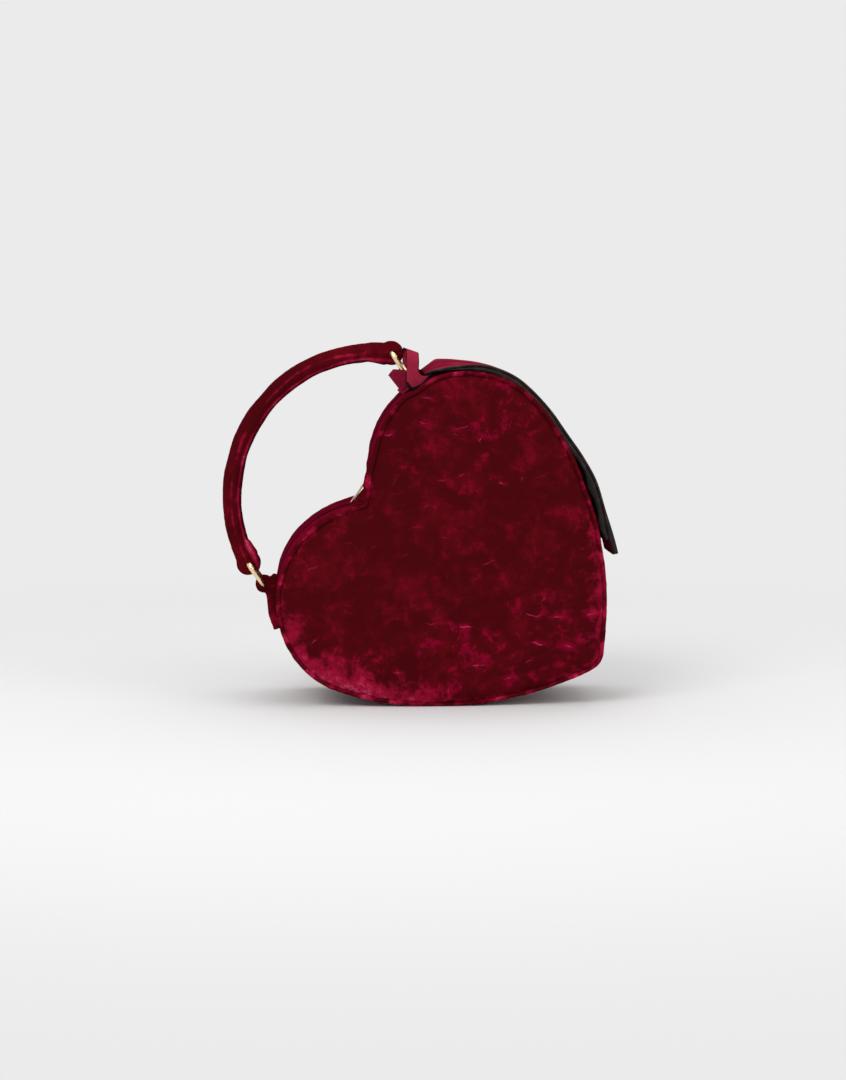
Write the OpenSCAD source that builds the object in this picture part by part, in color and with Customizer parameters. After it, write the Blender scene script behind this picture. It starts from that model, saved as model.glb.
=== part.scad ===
// Heart shaped velvet handbag with a zipped top, a padded arched handle and a leather tag.
// It stands on the worn flat of its lower left side, as it leans. All sizes are in millimetres.
// Plane shapes are drawn upright in the heart's own frame: x across the lobes, y up its axis.

/* [Heart] */
// Distance from the middle line to the centre of each lobe
lobe_x = 48.6; // [46:0.1:52]
// Radius of each lobe
lobe_r = 56.4; // [54:0.1:59]
// Radius of the long arcs down to the point
side_r = 200; // [180:1:225]
// Angle below level where a lobe turns into its side arc
side_turn = 19.5; // [17:0.5:22]
// Radius of the rounded point
tip_r = 12; // [11:0.5:15]
// Radius of the rounded notch between the lobes
cleft_r = 8; // [7:0.5:10]
// Depth of the bag from rim to rim
bag_depth = 80; // [70:1:95]
// How far a padded face stands proud of its rim
crown = 4; // [2:0.5:6]
// Lean of the heart's axis to the left as it stands
lean = 54.45; // [52:0.05:57]
// Depth of the worn flat that it stands on
rest_cut = 0.6; // [0.4:0.1:1]

/* [Plies] */
// Thickness of the velvet with its pile
velvet_t = 1.2; // [0.8:0.1:1.6]
// Thickness of the stiff board
board_t = 1; // [0.8:0.1:1.4]
// Thickness of the lining
lining_t = 0.6; // [0.4:0.1:0.8]
// Thickness of the wadding at its rim
wadding_rim = 0.6; // [0.4:0.1:1]
// Radius of the covered welt cord on each seam
welt_r = 1.6; // [1.2:0.1:2]
// How far the welt stands proud of the seam
welt_proud = 0.4; // [0.2:0.1:0.8]
// Gap between plies that lie on each other
ply_gap = 0.1; // [0.05:0.01:0.15]
// Gap between loose neighbours
loose_gap = 0.3; // [0.3:0.05:0.5]

/* [Zip] */
// Room between the slot's edge and the lining
lining_margin = 2.5; // [2:0.1:4]
// Angle on a lobe where the zipped panel ends
zip_panel_angle = 60; // [57:0.5:63]
// Angle on a lobe where the row of teeth ends
zip_end_angle = 72; // [70:0.5:76]
// Half width of the slot that shows the teeth
slot_half = 4; // [3.8:0.1:5]
// Width of each tape
tape_w = 10; // [8:0.5:13]
// Thickness of each tape
tape_t = 0.6; // [0.5:0.1:0.7]
// Distance from one tooth to the next in a row
tooth_pitch = 2.5; // [2.4:0.1:3]
// Length of a tooth along the chain
tooth_w = 1; // [0.8:0.05:1.05]
// Height of a tooth's clamp
tooth_h = 2.4; // [2.2:0.1:2.6]
// Height of a tooth's head
head_h = 1.6; // [1.2:0.1:1.8]
// How far a head reaches past the middle
head_reach = 0.9; // [0.7:0.1:1]
// How far a clamp reaches over its tape
clamp_reach = 2.8; // [2.4:0.1:2.8]
// Gap along the chain between the slider and the notch's arc
slider_gap = 0.4; // [0.3:0.1:3]
// Length of the slider
slider_len = 9; // [8:0.5:10]
// Thickness of the slider's plates
slider_t = 1; // [0.8:0.1:1.2]
// Thickness of the slider's side flanges
flange_t = 0.6; // [0.5:0.05:0.6]
// Radius of the pull's hinge bar
pull_bar_r = 0.65; // [0.55:0.05:0.75]
// Length of the pull from its bar to its tip
pull_len = 17.5; // [16.5:0.1:17.9]
// Width of the pull
pull_w = 6; // [5:0.5:7]
// Thickness of the pull
pull_t = 1; // [0.8:0.1:1.1]

/* [Tabs and rings] */
// Width of the velvet tabs
tab_w = 10; // [8:0.5:10]
// Thickness of the lower tab's sewn tail
tab_t = 4.6; // [3.8:0.1:5]
// Thickness of the upper tab's tail, pressed flat under the leather
flat_tail_t = 1.5; // [1.2:0.1:1.6]
// Angle on the lobe where the lower tab's tail begins
tab_foot_angle = 35; // [32:0.5:40]
// Radius outside a tab's loop
tab_loop_r = 5.2; // [4.8:0.1:5.6]
// Gap between a tab's loop and the gusset
tab_lift = 2.2; // [2:0.1:3]
// Angle on the lobe of the lower ring's pivot
pivot_angle_lower = 61.2; // [60.7:0.5:63.7]
// Angle on the lobe of the upper ring's pivot
pivot_angle_upper = 67.7; // [66.7:0.5:68.2]
// Radius of the rings' wire
wire_r = 1.6; // [1.4:0.1:1.7]
// Distance between the two bars of a ring
ring_len = 15.6; // [15:0.1:17]
// Width of a ring over its wire
ring_w = 22; // [21.5:0.1:24]
// Radius of a ring's corners, on the wire's middle line
ring_corner_r = 4; // [3.4:0.1:4.3]
// Tilt of the rings from the heart's axis to the right
ring_tilt = 18; // [14:0.5:20]
// Running gap round the rings' hinge bars
hinge_gap = 0.05; // [0.02:0.01:0.08]

/* [Handle] */
// How far the handle's middle line bulges from the line between its rings
handle_rise = 45.5; // [43:0.5:49]
// Diameter of the handle's tube
tube_d = 11.5; // [10.5:0.1:12.5]
// Radius outside a handle end's loop
eye_r = 7.2; // [6.6:0.1:7.4]
// Length of a handle end along the middle line
end_len = 13; // [11:0.5:16]
// How far the sewn tip inside a handle end stands out
fold_t = 2; // [1.5:0.1:2.6]

/* [Leather] */
// Thickness of one layer of leather
leather_t = 1.7; // [1.4:0.1:1.8]
// Width of the hanging tag
tag_w = 40; // [34:0.5:41]
// Length of the tag's face from its fold to its tail
tag_len = 180; // [160:1:190]
// How much shorter the tag's backing is at the tail
backing_short = 13; // [8:0.5:20]
// Angle on the right lobe of the tag's fold
tag_fold_angle = 59.5; // [59:0.5:60]
// Angle on the right lobe where the tag's neck ends
neck_end_angle = 77; // [76:0.5:78]
// Width of the neck
neck_w = 43.5; // [42:0.5:44]
// Width of the slot in the neck for the upper tab
neck_slot_w = 11.4; // [11:0.1:13]
// Gap between the neck's edges and the strap's legs
strap_gap = 0.55; // [0.35:0.05:2]
// Width of the strap
strap_w = 7.4; // [6:0.1:7.6]
// How far the strap's bridge stands above the upper ring's upper bar
strap_head = 1.9; // [1.7:0.1:6]
// Gap across from the handle's upper loop to the strap
strap_clear = 0.75; // [0.75:0.05:1.5]
// Radius of the bridge's corners
strap_corner_r = 7; // [5:0.5:9]
// Height of the strap's feet above the gusset
foot_h = 6.4; // [5:0.1:7]

/* [Hidden] */
$fn = 48;
fine_fn = 240;

velvet = "#4b0810";
velvet_light = "#6e1020";
lining_red = "#5a1a22";
board_grey = "#8a8276";
wadding_white = "#e8e4dc";
leather_red = "#961e3a";
leather_dark = "#3a2a2c";
gold = "#e6d2aa";
gold_dark = "#5c5446";

// Centres of the heart's arcs, on the right side or on the axis
lobe_c = [lobe_x, 0];
side_c = [lobe_x + (lobe_r - side_r) * cos(side_turn), (side_r - lobe_r) * sin(side_turn)];
tip_c = [0, side_c.y - sqrt(pow(side_r - tip_r, 2) - side_c.x * side_c.x)];
cleft_c = [0, sqrt(pow(lobe_r + cleft_r, 2) - lobe_x * lobe_x)];
tip_turn = atan2(tip_c.y - side_c.y, -side_c.x);
cleft_turn = atan2(cleft_c.y, -lobe_x);
far_reach = 3 * lobe_r;

// Half depths of the plies, from the rim of the face inwards
half_depth = bag_depth / 2;
wadding_y = half_depth - velvet_t - ply_gap;
board_y = wadding_y - wadding_rim - ply_gap;
lining_y = board_y - board_t - ply_gap;
gusset_y = half_depth - 2 * welt_r - ply_gap;
inner_y = lining_y - lining_t - ply_gap;

// Insets of the plies from the heart's outline
welt_inset = welt_r - welt_proud;
face_inset = welt_inset + welt_r + ply_gap;
gusset_board_inset = velvet_t + ply_gap;
gusset_lining_inset = gusset_board_inset + board_t + ply_gap;
tape_inset = velvet_t + ply_gap + tape_t / 2;
lining_slot_half = slot_half + lining_margin;
board_inset = face_inset + loose_gap + ply_gap;

// Zip chain along the tapes' middle, from its right end over the notch to its left end
tape_lobe_r = lobe_r - tape_inset;
tape_cleft_r = cleft_r + tape_inset;
lobe_run = (cleft_turn - zip_end_angle) * PI / 180 * tape_lobe_r;
cleft_run = 2 * (cleft_turn - 90) * PI / 180 * tape_cleft_r;
zip_run = 2 * lobe_run + cleft_run;
teeth = floor(zip_run / tooth_pitch);
tape_edge_share = 1.2;
tape_edge = tape_edge_share * tooth_w;
stop_share = 1.6;
stop_len = stop_share * tooth_w;
tape_tail_angle = 4;
row_shift_shares = [0.25, 0.75];

// Slider, in the frame of the right lobe
plate_r = lobe_r - tape_inset + tooth_h / 2 + loose_gap;
slider_span = slider_len / plate_r * 180 / PI;
slider_angle = cleft_turn - slider_span / 2 - slider_gap / plate_r * 180 / PI;
flange_in = clamp_reach + loose_gap;
flange_out = flange_in + flange_t;
keel_r = tape_lobe_r - tooth_h / 2 - loose_gap;
bail_r = pull_bar_r + hinge_gap;
bail_t = slider_t;
bail_w = pull_w / 3;
bail_foot_share = 0.2;
pull_pivot_r = plate_r + slider_t + pull_bar_r + pull_t / 4 + loose_gap;
pull_pivot = lobe_c + pull_pivot_r * [cos(slider_angle), sin(slider_angle)];
pull_rest_r = lobe_r + pull_t / 2;
pull_way = flip(lobe_c) - pull_pivot;
pull_way_len = norm(pull_way);
pull_rest_angle = 360 + atan2(pull_way.y, pull_way.x) - acos(
    (pull_way_len * pull_way_len + pull_len * pull_len - pull_rest_r * pull_rest_r)
    / (2 * pull_way_len * pull_len)
);
pull_arm_w = pull_w / 6;
pull_eye_len = pull_w / 2;

// Pivots of the rings in the tabs, and of the handle's ends on the rings
pivot_r = lobe_r + tab_lift + tab_loop_r;
lower_pivot = [-lobe_x - pivot_r * cos(pivot_angle_lower), pivot_r * sin(pivot_angle_lower)];
upper_pivot = [lobe_x + pivot_r * cos(pivot_angle_upper), pivot_r * sin(pivot_angle_upper)];
ring_way = ring_len * [sin(ring_tilt), cos(ring_tilt)];
lower_eye = lower_pivot + ring_way;
upper_eye = upper_pivot + ring_way;
bar_half = ring_w / 2 - wire_r - ring_corner_r;

// Handle arc through both eyes
eye_way = upper_eye - lower_eye;
eye_gap = norm(eye_way);
handle_r = (eye_gap * eye_gap / 4 + handle_rise * handle_rise) / (2 * handle_rise);
handle_c = (lower_eye + upper_eye) / 2
    - sqrt(handle_r * handle_r - eye_gap * eye_gap / 4) * [-eye_way.y, eye_way.x] / eye_gap;
function angle_at(p, c) = atan2(p.y - c.y, p.x - c.x);
end_span = end_len / handle_r * 180 / PI;
upper_end_angle = angle_at(upper_eye, handle_c);
lower_end_angle = angle_at(lower_eye, handle_c);
tube_start = upper_end_angle + end_span;
tube_span = lower_end_angle - upper_end_angle - 2 * end_span;
tube_r = tube_d / 2;
fold_tip_share = 0.25;
tab_neck_turn = 3;
tail_inside_share = 0.125;
tail_low_share = 0.15;
tail_high_share = 0.85;
loop_join_share = 0.8;
cover_t = velvet_t;

// Strap over the neck
strap_span = neck_w + 2 * (strap_gap + leather_t);
strap_top = up(upper_eye) + strap_head;
strap_left = across(upper_eye) + eye_r + strap_clear;

// Tag: a chain of arcs that turn to the right, as [radius, turn]
tag_lobe_shares = [1.28, 0.76, 1.65];
tag_side_share = 1.19;
tag_turns = [31, 32, 18];
bend_step = 2;
neck_mid_r = lobe_r + loose_gap + leather_t / 2;
tag_fold = lobe_c + neck_mid_r * [cos(tag_fold_angle), sin(tag_fold_angle)];
tag_radii = [for (s = tag_lobe_shares) s * lobe_r];
tag_head_len = sum_of([for (i = [0 : len(tag_turns) - 1]) tag_radii[i] * tag_turns[i] * PI / 180]);
tag_tail_r = tag_side_share * side_r;
tag_tail_turn = (tag_len - tag_head_len) / tag_tail_r * 180 / PI;
tag_bends = [
    for (i = [0 : len(tag_turns) - 1]) [tag_radii[i], tag_turns[i]],
    [tag_tail_r, tag_tail_turn]
];
backing_bends = [
    for (i = [0 : len(tag_turns) - 1]) [tag_radii[i], tag_turns[i]],
    [tag_tail_r, tag_tail_turn - backing_short / tag_tail_r * 180 / PI]
];
backing_drop = leather_t + ply_gap;
flat_foot_angle = tag_fold_angle - tag_turns[0] / 3;
slot_end_turn = 1;
slot_top_turn = 3;
strap_foot_turn = 3;
knuckle_step = 15;
tag_states = bend_states([tag_fold.x, tag_fold.y, tag_fold_angle - 90], tag_bends, 0);

// Place of the heart's middle above the standing flat, and across from the middle of the whole
stand_z = side_r - (side_c.y * cos(lean) - side_c.x * sin(lean)) - rest_cut;
left_x = across(handle_c) - handle_r - tube_r;
tail_state = tag_states[len(tag_bends)];
right_x = across([tail_state[0], tail_state[1]]
    + leather_t / 2 * [-sin(tail_state[2]), cos(tail_state[2])]);
shift_x = -(left_x + right_x) / 2;

function across(p) = p.x * cos(lean) - p.y * sin(lean);
function up(p) = p.x * sin(lean) + p.y * cos(lean);
function sum_of(v, i = 0) = i == len(v) ? 0 : v[i] + sum_of(v, i + 1);
function polar(c, r, a) = [c.x + r * cos(a), c.y + r * sin(a)];
function flip(p) = [-p.x, p.y];

// State [x, y, heading] after each bend of a chain that turns to the right
function bend_end(s, b) = [
    s[0] + b[0] * (sin(s[2]) - sin(s[2] - b[1])),
    s[1] - b[0] * (cos(s[2]) - cos(s[2] - b[1])),
    s[2] - b[1]
];
function bend_states(s, bends, i) =
    i == len(bends) ? [s] : concat([s], bend_states(bend_end(s, bends[i]), bends, i + 1));

// Stands a piece drawn in the heart's frame where the leaning bag has it
module leaning() {
    translate([shift_x, 0, stand_z]) rotate([0, -lean, 0]) children();
}

// As leaning, and cut level at the flat that the bag stands on
module standing() {
    floor_size = 2 * (lobe_x + lobe_r + side_r);
    difference() {
        leaning() children();
        translate([-floor_size / 2, -floor_size / 2, -floor_size]) cube(floor_size);
    }
}

// Gives a plane shape a depth from y0, nearer the front, to y1
module slab(y0, y1) {
    translate([0, y1, 0]) rotate([90, 0, 0]) linear_extrude(y1 - y0) children();
}

// Filled heart, drawn in by inset
module heart(inset) {
    polygon(whole_heart(inset, fine_counts));
}

// Wall of the heart between two insets
module heart_wall(outer, inner) {
    difference() {
        heart(outer);
        heart(inner);
    }
}

// Everything above both lobes, down to an angle on each
module top_zone(angle) {
    polygon([
        flip(lobe_c), lobe_c, polar(lobe_c, far_reach, angle), flip(polar(lobe_c, far_reach, angle))
    ]);
}

// Slice of a ring between two angles, less than a half turn apart
module ring_slice(c, r_in, r_out, a0, a1) {
    step = (a1 - a0) / 3;
    translate(c) intersection() {
        difference() {
            circle(r_out, $fn = fine_fn);
            circle(r_in, $fn = fine_fn);
        }
        polygon([[0, 0], for (i = [0 : 3]) polar([0, 0], 2 * r_out, a0 + i * step)]);
    }
}

// Points along an arc, without its last one
function arc_points(c, r, a0, a1, n) = [for (i = [0 : n - 1]) polar(c, r, a0 + (a1 - a0) * i / n)];

// Points round the heart, drawn in by inset, from the notch down the right side and back;
// counts are the sides drawn along the notch, the lobe, the long arc and the point
coarse_counts = [3, 14, 6, 3];
fine_counts = [8, 54, 18, 12];
function half_heart(inset, counts) = concat(
    arc_points(cleft_c, cleft_r + inset, -90, cleft_turn - 180, counts[0]),
    arc_points(lobe_c, lobe_r - inset, cleft_turn, -side_turn, counts[1]),
    arc_points(side_c, side_r - inset, -side_turn, tip_turn, counts[2]),
    arc_points(tip_c, tip_r - inset, tip_turn, -90, counts[3]),
    [[0, tip_c.y - tip_r + inset]]
);
function whole_heart(inset, counts = coarse_counts) = let (h = half_heart(inset, counts), n = len(h))
    concat(h, [for (i = [n - 2 : -1 : 1]) flip(h[i])]);
face_mid = [0, -lobe_r / 3];
function shrunk(points, s) = [for (p = points) face_mid + s * (p - face_mid)];
function raised(points, y) = [for (p = points) [p.x, y, p.y]];

// Levels of a padded face: inset or scale of each ring, and its share of the crown
rim_inset_shares = [0, 0.3, 0.9, 2];
rim_insets = [for (s = rim_inset_shares) face_inset + s * crown];
rim_crown_shares = [0, 0.38, 0.68, 0.86];
inner_scale_shares = [0.8, 0.5];
inner_crown_shares = [0.95, 0.99];

// Rings of points of a padded face whose rim is at depth y, from the rim inwards
function face_rings(y) = let (last = whole_heart(rim_insets[len(rim_insets) - 1])) concat(
    [for (i = [0 : len(rim_insets) - 1])
        raised(whole_heart(rim_insets[i]), y - crown * rim_crown_shares[i])],
    [for (i = [0 : len(inner_scale_shares) - 1])
        raised(shrunk(last, inner_scale_shares[i]), y - crown * inner_crown_shares[i])]
);

// Closed solid between a crowned outer surface and an inner one, each a list of rings
module padded_solid(outer, inner, outer_mid, inner_mid) {
    n = len(outer[0]);
    a = len(outer);
    b = len(inner);
    points = concat([for (r = outer, p = r) p], [for (r = inner, p = r) p], [outer_mid, inner_mid]);
    function at(ring, i) = ring * n + i % n;
    polyhedron(points, concat(
        [for (k = [0 : 1 : a - 2], i = [0 : n - 1]) each [
            [at(k, i), at(k, i + 1), at(k + 1, i + 1)], [at(k, i), at(k + 1, i + 1), at(k + 1, i)]]],
        [for (i = [0 : n - 1]) [at(a - 1, i), at(a - 1, i + 1), (a + b) * n]],
        [for (k = [a : 1 : a + b - 2], i = [0 : n - 1]) each [
            [at(k, i), at(k + 1, i + 1), at(k, i + 1)], [at(k, i), at(k + 1, i), at(k + 1, i + 1)]]],
        [for (i = [0 : n - 1]) [at(a + b - 1, i + 1), at(a + b - 1, i), (a + b) * n + 1]],
        [for (i = [0 : n - 1]) each [
            [at(0, i + 1), at(0, i), at(a, i)], [at(0, i + 1), at(a, i), at(a, i + 1)]]]
    ));
}

// Velvet face over its wadding, as the front has it
module velvet_face() {
    inner_rim = velvet_t - half_depth;
    padded_solid(face_rings(-half_depth), face_rings(inner_rim),
        [0, -half_depth - crown, face_mid.y], [0, inner_rim - crown, face_mid.y]);
}

// Wadding between the velvet face and the board
module face_wadding() {
    flat_y = wadding_rim - wadding_y;
    padded_solid(face_rings(-wadding_y), [raised(whole_heart(face_inset), flat_y)],
        [0, -wadding_y - crown, face_mid.y], [0, flat_y, face_mid.y]);
}

module front_panel() color(velvet) standing() velvet_face();
module back_panel() color(velvet) standing() mirror([0, 1, 0]) velvet_face();
module front_wadding() color(wadding_white) standing() face_wadding();
module back_wadding() color(wadding_white) standing() mirror([0, 1, 0]) face_wadding();
module front_board() color(board_grey) standing() slab(-board_y, board_t - board_y) heart(board_inset);
module back_board() color(board_grey) standing() slab(board_y - board_t, board_y) heart(board_inset);
module front_lining() {
    color(lining_red) standing() slab(-lining_y, lining_t - lining_y) heart(board_inset);
}
module back_lining() {
    color(lining_red) standing() slab(lining_y - lining_t, lining_y) heart(board_inset);
}

// Welt all round the heart at depth y: the outline at each side of the cord, joined into a tube
module welt(y) {
    sides = 8;
    n = len(whole_heart(0));
    points = [for (k = [0 : sides - 1])
        let (a = 360 * k / sides)
        each raised(whole_heart(welt_inset - welt_r * cos(a)), y + welt_r * sin(a))];
    function at(k, i) = (k % sides) * n + i % n;
    polyhedron(points, [for (k = [0 : sides - 1], i = [0 : n - 1]) each [
        [at(k, i), at(k + 1, i), at(k + 1, i + 1)], [at(k, i), at(k + 1, i + 1), at(k, i + 1)]]]);
}
module front_welt() color(velvet_light) standing() welt(welt_r - half_depth);
module back_welt() color(velvet_light) standing() welt(half_depth - welt_r);

// Gusset round the sides and the point, below the zipped panel
module base_gusset() {
    color(velvet) standing() slab(-gusset_y, gusset_y) difference() {
        heart_wall(0, velvet_t);
        top_zone(zip_panel_angle);
    }
}

module gusset_board() {
    color(board_grey) standing() slab(-inner_y, inner_y) difference() {
        heart_wall(gusset_board_inset, gusset_board_inset + board_t);
        top_zone(zip_panel_angle);
    }
}

module gusset_lining() {
    color(lining_red) leaning() difference() {
        slab(-inner_y, inner_y) heart_wall(gusset_lining_inset, gusset_lining_inset + lining_t);
        slab(-lining_slot_half, lining_slot_half) top_zone(zip_end_angle - tape_tail_angle);
    }
}

// Velvet strip beside the teeth, from the slot to the seam
module zip_strip() {
    leaning() slab(slot_half, gusset_y) intersection() {
        heart_wall(0, velvet_t);
        top_zone(zip_panel_angle);
    }
}
module front_zip_strip() color(velvet) mirror([0, 1, 0]) zip_strip();
module back_zip_strip() color(velvet) zip_strip();

// Woven tape that holds one row of teeth
module zip_tape() {
    leaning() slab(tape_edge, tape_edge + tape_w) intersection() {
        heart_wall(tape_inset - tape_t / 2, tape_inset + tape_t / 2);
        top_zone(zip_end_angle - tape_tail_angle);
    }
}
module front_zip_tape() color(velvet_light) mirror([0, 1, 0]) zip_tape();
module back_zip_tape() color(velvet_light) zip_tape();

// Place [x, y, outward angle] on the chain at a distance from its right end
function zip_place(s) =
    s < lobe_run ? let (a = zip_end_angle + s / tape_lobe_r * 180 / PI)
        concat(polar(lobe_c, tape_lobe_r, a), a)
    : s < lobe_run + cleft_run ? let (a = cleft_turn - 180 - (s - lobe_run) / tape_cleft_r * 180 / PI)
        concat(polar(cleft_c, tape_cleft_r, a), a + 180)
    : let (a = 180 - cleft_turn + (s - lobe_run - cleft_run) / tape_lobe_r * 180 / PI)
        concat(polar(flip(lobe_c), tape_lobe_r, a), a);

// Puts a piece on the chain, its z outwards and its x along the tape
module on_chain(s) {
    p = zip_place(s);
    translate([p[0], 0, p[1]]) rotate([0, 90 - p[2], 0]) children();
}

// One tooth: a clamp round the tape's edge, and a rounded head that reaches past the middle
module tooth() {
    seat = tape_t / 2 + ply_gap;
    root = tape_edge - ply_gap;
    neck = head_reach - tooth_w / 2;
    translate([-tooth_w / 2, 0, 0]) rotate([90, 0, 90]) linear_extrude(tooth_w) polygon([
        [root / 2, -tooth_h / 2], [clamp_reach, -tooth_h / 2], [clamp_reach, -seat], [root, -seat],
        [root, seat], [clamp_reach, seat], [clamp_reach, tooth_h / 2], [root / 2, tooth_h / 2]
    ]);
    translate([0, 0, -head_h / 2]) linear_extrude(head_h) {
        translate([-tooth_w / 2, -neck]) square([tooth_w, neck + root / 2]);
        translate([0, -neck]) circle(tooth_w / 2);
    }
}

// The back row's teeth; the front row is the same row, mirrored and half a pitch along
module teeth_row(shift_share) {
    leaning() for (i = [0 : teeth - 1]) on_chain((i + shift_share) * tooth_pitch) children();
}
module back_zip_teeth() color(gold_dark) teeth_row(row_shift_shares[0]) tooth();
module front_zip_teeth() color(gold_dark) teeth_row(row_shift_shares[1]) mirror([0, 1, 0]) tooth();

// Stop at each end of the chain, pressed over both tapes
module zip_stops() {
    seat = tape_t / 2 + ply_gap;
    root = tape_edge - ply_gap;
    color(gold_dark) leaning() for (s = [-stop_len, zip_run + stop_len])
        on_chain(s) translate([-stop_len / 2, 0, 0]) rotate([90, 0, 90]) linear_extrude(stop_len)
            difference() {
                square([2 * clamp_reach, tooth_h], center = true);
                for (way = [-1, 1]) translate([way * (root + clamp_reach), 0])
                    square([2 * clamp_reach, 2 * seat], center = true);
            }
}

// Sector of a turned profile about the right lobe's centre; the profile's x is the radius
module lobe_sector(a0, a1) {
    translate([lobe_c.x, 0, lobe_c.y]) rotate([90, 0, 0]) rotate([0, 0, a0])
        rotate_extrude(angle = a1 - a0, $fn = fine_fn) children();
}

// Slider: a top plate with flanges, a keel plate inside the bag, and a bail for the pull
module zip_slider() {
    a0 = slider_angle - slider_span / 2;
    a1 = slider_angle + slider_span / 2;
    flange_r = tape_lobe_r + tape_t / 2 + loose_gap;
    waist = flange_in - tooth_w;
    color(gold_dark) leaning() {
        intersection() {
            lobe_sector(a0, a1) difference() {
                translate([flange_r, -flange_out]) square([plate_r + slider_t - flange_r, 2 * flange_out]);
                translate([flange_r - slider_t, -flange_in])
                    square([plate_r - flange_r + slider_t, 2 * flange_in]);
            }
            translate([lobe_c.x, 0, lobe_c.y]) rotate([0, 90 - slider_angle, 0]) linear_extrude(far_reach)
                polygon([
                    [-slider_len, -waist], [-slider_len / 4, -flange_out], [slider_len, -flange_out],
                    [slider_len, flange_out], [-slider_len / 4, flange_out], [-slider_len, waist]
                ]);
        }
        lobe_sector(a0, a1) translate([keel_r - slider_t, -flange_out]) square([slider_t, 2 * flange_out]);
        slab(-bail_w / 2, bail_w / 2) difference() {
            union() {
                translate(pull_pivot) circle(bail_r + bail_t);
                ring_slice(lobe_c, plate_r + slider_t / 2, pull_pivot_r,
                    slider_angle - bail_foot_share * slider_span, slider_angle + bail_foot_share * slider_span);
            }
            translate(pull_pivot) circle(bail_r);
        }
    }
}

// Pull: a bar through the bail, two arms and a long tongue, lying towards the left lobe
module zip_pull() {
    color(gold) leaning() translate([pull_pivot.x, 0, pull_pivot.y]) rotate([0, -pull_rest_angle, 0]) {
        rotate([90, 0, 0]) cylinder(pull_w, r = pull_bar_r, center = true);
        arm_y = (pull_w - pull_arm_w) / 2;
        for (way = [-1, 1]) translate([0, way * arm_y, 0]) rotate([90, 0, 0])
            linear_extrude(pull_arm_w, center = true) {
                circle(pull_bar_r + pull_t / 4);
                translate([0, -pull_t / 2]) square([pull_eye_len, pull_t]);
            }
        translate([0, 0, -pull_t / 2]) linear_extrude(pull_t) difference() {
            union() {
                translate([pull_eye_len, -pull_w / 2]) square([pull_len - pull_eye_len - pull_w / 2, pull_w]);
                translate([pull_len - pull_w / 2, 0]) circle(pull_w / 2);
            }
            translate([pull_len - pull_w / 2, 0]) circle(pull_w / 6);
        }
    }
}

// Tab: a tail sewn along the gusset, a neck, and a loop round the ring's bar
module tab(pivot_angle, foot_angle, tail_t, gap) {
    pivot = polar(lobe_c, pivot_r, pivot_angle);
    tail_end = zip_panel_angle - tab_neck_turn;
    sewn_r = lobe_r + loose_gap;
    half = tab_w / 2;
    join_r = loop_join_share * tab_loop_r;
    difference() {
        union() {
            slab(-half, half) ring_slice(lobe_c, sewn_r, sewn_r + tail_t, foot_angle, tail_end);
            slab(-half, half) translate(pivot) circle(tab_loop_r);
            slab(-half, half) polygon([
                polar(lobe_c, sewn_r + tail_low_share * tail_t, tail_end - tab_neck_turn),
                polar(lobe_c, sewn_r + tail_low_share * tail_t, tail_end - tail_inside_share * tab_neck_turn),
                polar(pivot, join_r, pivot_angle + 180), polar(pivot, join_r, pivot_angle - 90),
                polar(lobe_c, sewn_r + tail_high_share * tail_t, tail_end - tab_neck_turn)
            ]);
        }
        slab(-tab_w, tab_w) translate(pivot) circle(wire_r + gap);
    }
}
module lower_tab() color(velvet) leaning() mirror([1, 0, 0])
    tab(pivot_angle_lower, tab_foot_angle, tab_t, hinge_gap);
module upper_tab() color(velvet) leaning()
    tab(pivot_angle_upper, flat_foot_angle, flat_tail_t, loose_gap);

// Oval ring round its own pivot, its long way along local z
module ring() {
    side_y = bar_half + ring_corner_r;
    for (z = [0, ring_len]) translate([0, 0, z]) rotate([90, 0, 0])
        cylinder(2 * bar_half, r = wire_r, center = true);
    for (way = [-1, 1]) translate([0, way * side_y, ring_corner_r])
        cylinder(ring_len - 2 * ring_corner_r, r = wire_r);
    for (corner = [0 : 3]) {
        y = corner == 0 || corner == 3 ? bar_half : -bar_half;
        z = corner < 2 ? ring_len - ring_corner_r : ring_corner_r;
        translate([0, y, z]) rotate([90, 0, 90]) rotate([0, 0, 90 * corner])
            rotate_extrude(angle = 90) translate([ring_corner_r, 0]) circle(wire_r);
    }
}

module placed_ring(pivot) {
    color(gold) leaning() translate([pivot.x, 0, pivot.y]) rotate([0, ring_tilt, 0]) ring();
}
module lower_ring() placed_ring(lower_pivot);
module upper_ring() placed_ring(upper_pivot);

module handle_cover() {
    color(velvet) leaning() translate([handle_c.x, 0, handle_c.y]) rotate([90, 0, 0])
        rotate([0, 0, tube_start]) rotate_extrude(angle = tube_span, $fn = fine_fn)
            translate([handle_r, 0]) difference() {
                circle(tube_r);
                circle(tube_r - cover_t);
            }
}

module handle_core() {
    color(wadding_white) leaning() translate([handle_c.x, 0, handle_c.y]) rotate([90, 0, 0])
        rotate([0, 0, tube_start]) rotate_extrude(angle = tube_span, $fn = fine_fn)
            translate([handle_r, 0]) circle(tube_r - cover_t - ply_gap);
}

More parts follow.
